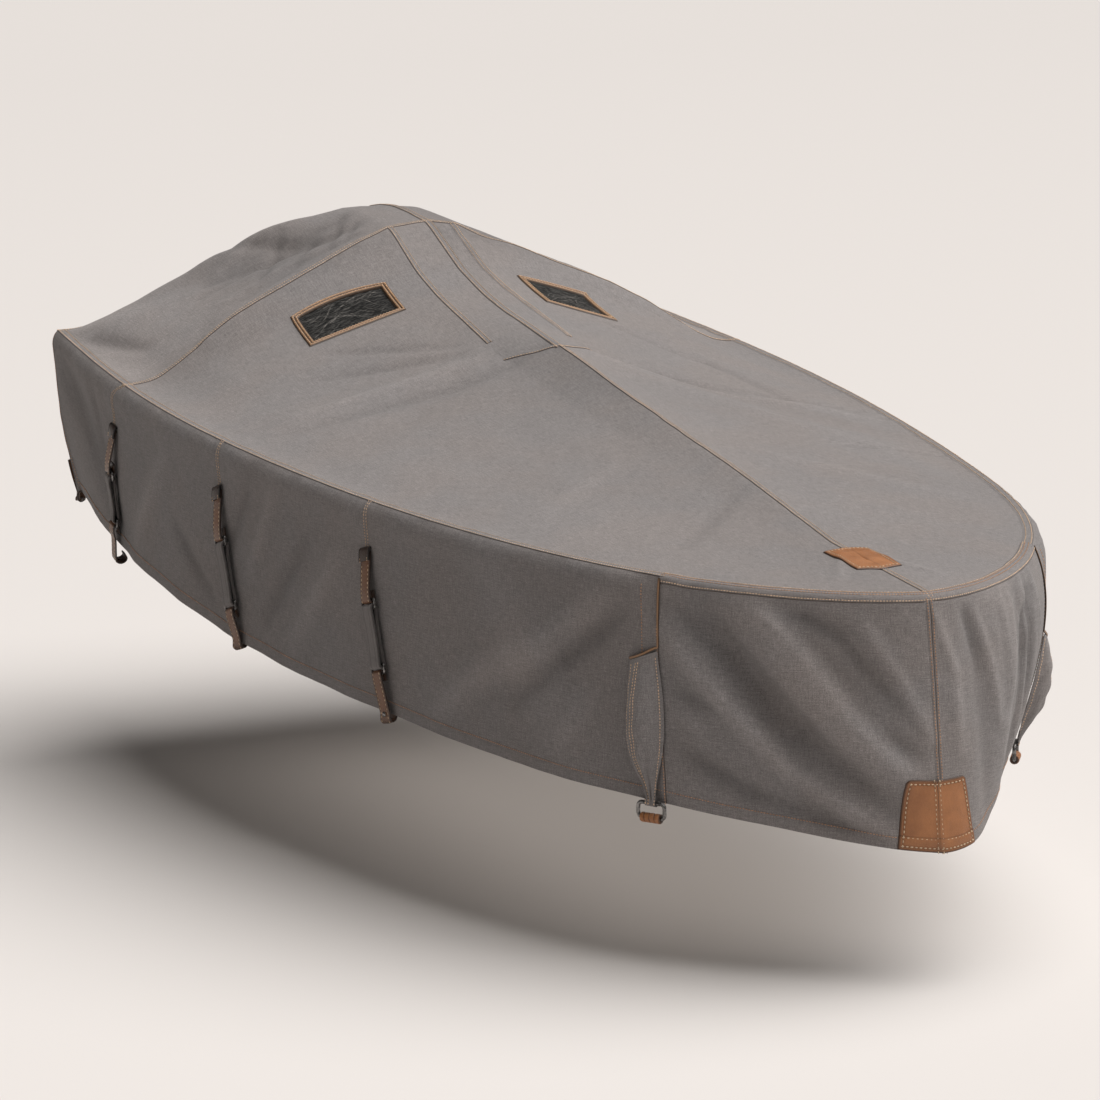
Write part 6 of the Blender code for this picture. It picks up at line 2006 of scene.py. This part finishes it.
def seam_stitch():
    """The pitch, length and thickness of the seams' stitches."""
    settings = bpy.context.scene.boat_cover
    return settings.stitch_pitch, settings.stitch_length, settings.thread_thickness


class BOATCOVER_OT_canvas(bpy.types.Operator):
    """Add the sewn canvas panels, each a thin sheet on its folds"""

    bl_idname = "boat_cover.canvas"
    bl_label = "Canvas Panels"

    def execute(self, context):
        cloth = the_cloth()
        for name in PANEL_CUTS:
            add_panel(cloth, name, context.scene.boat_cover.canvas_thickness)
        return {"FINISHED"}


def on_seams(routes):
    """Rows of stitches on the seams' raised cloth: by the edge, the second rows, and those of the skirt."""
    deck_rows, faint_rows, skirt_rows = [], [], []
    for name, (route, profile, offsets) in routes.items():
        on_skirt = name.startswith(("bow_seam", "stern_corner", "pleat_seam"))
        for offset in offsets:
            rows = skirt_rows if on_skirt else deck_rows if offset == offsets[0] else faint_rows
            rows.append(route.row(profile, offset))
    return deck_rows, faint_rows, skirt_rows


def over_straps(cloth):
    """The two rows of stitches over each strap's top, which lean along the rim near it."""
    rows = []
    depths = [*np.linspace(0.001, 0.03, 9), *np.linspace(0.036, TAB_DEPTH - 0.006, 10)]
    for along, _, row in strap_places(cloth):
        shift = cloth.along_of(CROSS_SEAM) + abs(along) if row[0] == "aft" else STRAP_ROW_SHIFT
        shift *= 1 if along < 0 else -1
        for aside in (-0.0048, 0.0048):
            places, normals = placed(
                dressed(cloth, along + aside + shift * max(0.0, 1 - depth / 0.045) ** 2.5, depth)
                for depth in depths)
            rows.append((places + normals * STITCH_LIFT, normals))
    return rows


class BOATCOVER_OT_seams(bpy.types.Operator):
    """Add the felled and taped seams between the panels, with their rows of stitches, and the hem's row"""

    bl_idname = "boat_cover.seams"
    bl_label = "Seams"

    def execute(self, context):
        cloth = the_cloth()
        routes = seam_routes()
        add_bodies("seam_cloth", [seam_body(route, profile) for route, profile, _ in routes.values()])
        deck_rows, faint_rows, skirt_rows = on_seams(routes)
        skirt_rows.append(hem_line(cloth))
        for side, name in SIDES.items():
            edge = side * (0.040 - cloth.along_of(PLEAT))
            last = FLAP_TOPS[name] * cloth.drop_at(edge)
            places, normals = skirt_line(cloth, edge, np.linspace(0.022, last, 40))
            skirt_rows.append((places + normals * STITCH_LIFT, normals))
        for name, rows, thread in (("deck", deck_rows, "Copper Thread"),
                                   ("second", faint_rows, "Faint Thread"),
                                   ("straps", over_straps(cloth), "Faint Thread"),
                                   ("skirt", skirt_rows, "Dark Copper Thread")):
            add_stitches("seam_stitches_" + name, rows, thread, *seam_stitch())
        return {"FINISHED"}


class BOATCOVER_OT_bow_band(bpy.types.Operator):
    """Add the bow's rolled rim band with its rows of stitches"""

    bl_idname = "boat_cover.bow_band"
    bl_label = "Bow Band"

    def execute(self, context):
        route = band_route()
        add_bodies("bow_rim_band_canvas", [seam_body(route, BAND)], ["bow_rim_band"])
        for name, offsets, thread in (("bow_band_stitches", BAND_ROWS, "Copper Thread"),
                                      ("bow_band_stitches_inner", BAND_FAINT_ROWS, "Dark Copper Thread")):
            add_stitches(name, [route.row(BAND, offset) for offset in offsets], thread, *seam_stitch())
        return {"FINISHED"}


class BOATCOVER_OT_vents(bpy.types.Operator):
    """Add the two vents of crinkled mesh in their piped frames"""

    bl_idname = "boat_cover.vents"
    bl_label = "Vents"

    def execute(self, context):
        rows = [row for side, name in SIDES.items() for row in add_vent(the_cloth(), name, side)]
        add_stitches("vent_stitches", rows, "Cream Thread", *VENT_STITCH, slant=VENT_SLANT)
        return {"FINISHED"}


class BOATCOVER_OT_patches(bpy.types.Operator):
    """Add the leather patches on the foredeck and at the bow's foot, with their saddle stitches"""

    bl_idname = "boat_cover.patches"
    bl_label = "Leather Patches"

    def execute(self, context):
        for name, add, stitch in (("foredeck_patch", add_fore_patch, FORE_PATCH_STITCH),
                                  ("bow_patch", add_bow_patch, BOW_PATCH_STITCH)):
            add_stitches(name + "_stitches", add(the_cloth()), "Cream Thread", *stitch, slot="leather")
        return {"FINISHED"}


class BOATCOVER_OT_straps(bpy.types.Operator):
    """Add the tie-down straps with their steel loops, doubled webs and turned tails"""

    bl_idname = "boat_cover.straps"
    bl_label = "Straps"

    def execute(self, context):
        cloth = the_cloth()
        rows, tab_rows = [], []
        for along, stem, (_, _, lean, hang) in strap_places(cloth):
            leather, tab = add_strap(cloth, stem, along, lean if along < 0 else -lean, hang)
            rows += leather
            tab_rows += tab
        rows += add_corner_strap(cloth)
        add_stud(cloth)
        add_stitches("strap_stitches", rows, "Cream Thread", *STRAP_STITCH, slot="leather")
        add_stitches("strap_tab_stitches", tab_rows, "Copper Thread", *TAB_STITCH, slot="leather")
        return {"FINISHED"}


class BOATCOVER_OT_pleats(bpy.types.Operator):
    """Add the pleats' gathered flaps, bound edges, steel loops and leather rolls"""

    bl_idname = "boat_cover.pleats"
    bl_label = "Pleat Flaps"

    def execute(self, context):
        flaps = [add_flap(the_cloth(), name, side) for side, name in SIDES.items()]
        flap_rows = [row for rows, _ in flaps for row in rows]
        add_stitches("pleat_flap_stitches", flap_rows, "Copper Thread", *seam_stitch())
        add_stitches("pleat_binding_stitches", [row for _, row in flaps], "Cream Thread", *BINDING_STITCH)
        return {"FINISHED"}


class BOATCOVER_OT_stage(bpy.types.Operator):
    """Add the floor, the soft light and the camera"""

    bl_idname = "boat_cover.stage"
    bl_label = "Studio Stage"

    def execute(self, context):
        stage = context.scene.boat_cover_stage
        half = stage.floor_size / 2
        corners = [(x * half, y * half, FLOOR_Z) for x, y in ((-1, -1), (1, -1), (1, 1), (-1, 1))]
        floor = plain_object("studio_floor", corners, [[0, 1, 2, 3]])
        floor.data.materials.append(floor_finish(stage))
        add_soft_light(stage.light_strength)
        add_floor_fill(stage.fill_power)
        world = bpy.data.worlds.new("Studio")
        world.use_nodes = True
        sky = world.node_tree.nodes["Background"]
        sky.inputs[0].default_value = (*WARM_WHITE, 1.0)
        sky.inputs[1].default_value = stage.sky_strength
        context.scene.world = world
        context.scene.view_settings.view_transform = "Standard"
        add_camera()
        return {"FINISHED"}


PIECE_OPERATORS = (BOATCOVER_OT_canvas, BOATCOVER_OT_seams, BOATCOVER_OT_bow_band, BOATCOVER_OT_vents,
                   BOATCOVER_OT_patches, BOATCOVER_OT_straps, BOATCOVER_OT_pleats, BOATCOVER_OT_stage)


class BOATCOVER_PT_panel(bpy.types.Panel):
    """The cover's settings and pieces in the sidebar"""

    bl_idname = "BOATCOVER_PT_panel"
    bl_label = "Boat Cover"
    bl_space_type = "VIEW_3D"
    bl_region_type = "UI"
    bl_category = "Boat Cover"

    def draw(self, context):
        for group in (context.scene.boat_cover, context.scene.boat_cover_stage):
            box = self.layout.box()
            for name in group.__annotations__:
                box.prop(group, name)
        for operator in PIECE_OPERATORS:
            self.layout.operator(operator.bl_idname)


CLASSES = (BoatCoverSettings, BoatCoverStage, *PIECE_OPERATORS, BOATCOVER_PT_panel)


def register():
    for kind in CLASSES:
        bpy.utils.register_class(kind)
    bpy.types.Scene.boat_cover = bpy.props.PointerProperty(type=BoatCoverSettings)
    bpy.types.Scene.boat_cover_stage = bpy.props.PointerProperty(type=BoatCoverStage)


def unregister():
    del bpy.types.Scene.boat_cover_stage
    del bpy.types.Scene.boat_cover
    for kind in reversed(CLASSES):
        bpy.utils.unregister_class(kind)


def main():
    for thing in list(bpy.data.objects):
        if thing.name in ("Cube", "Light", "Camera"):
            bpy.data.objects.remove(thing)
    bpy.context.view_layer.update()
    register()
    for operator in PIECE_OPERATORS:
        group, name = operator.bl_idname.split(".")
        getattr(getattr(bpy.ops, group), name)()


if __name__ == "__main__":
    main()
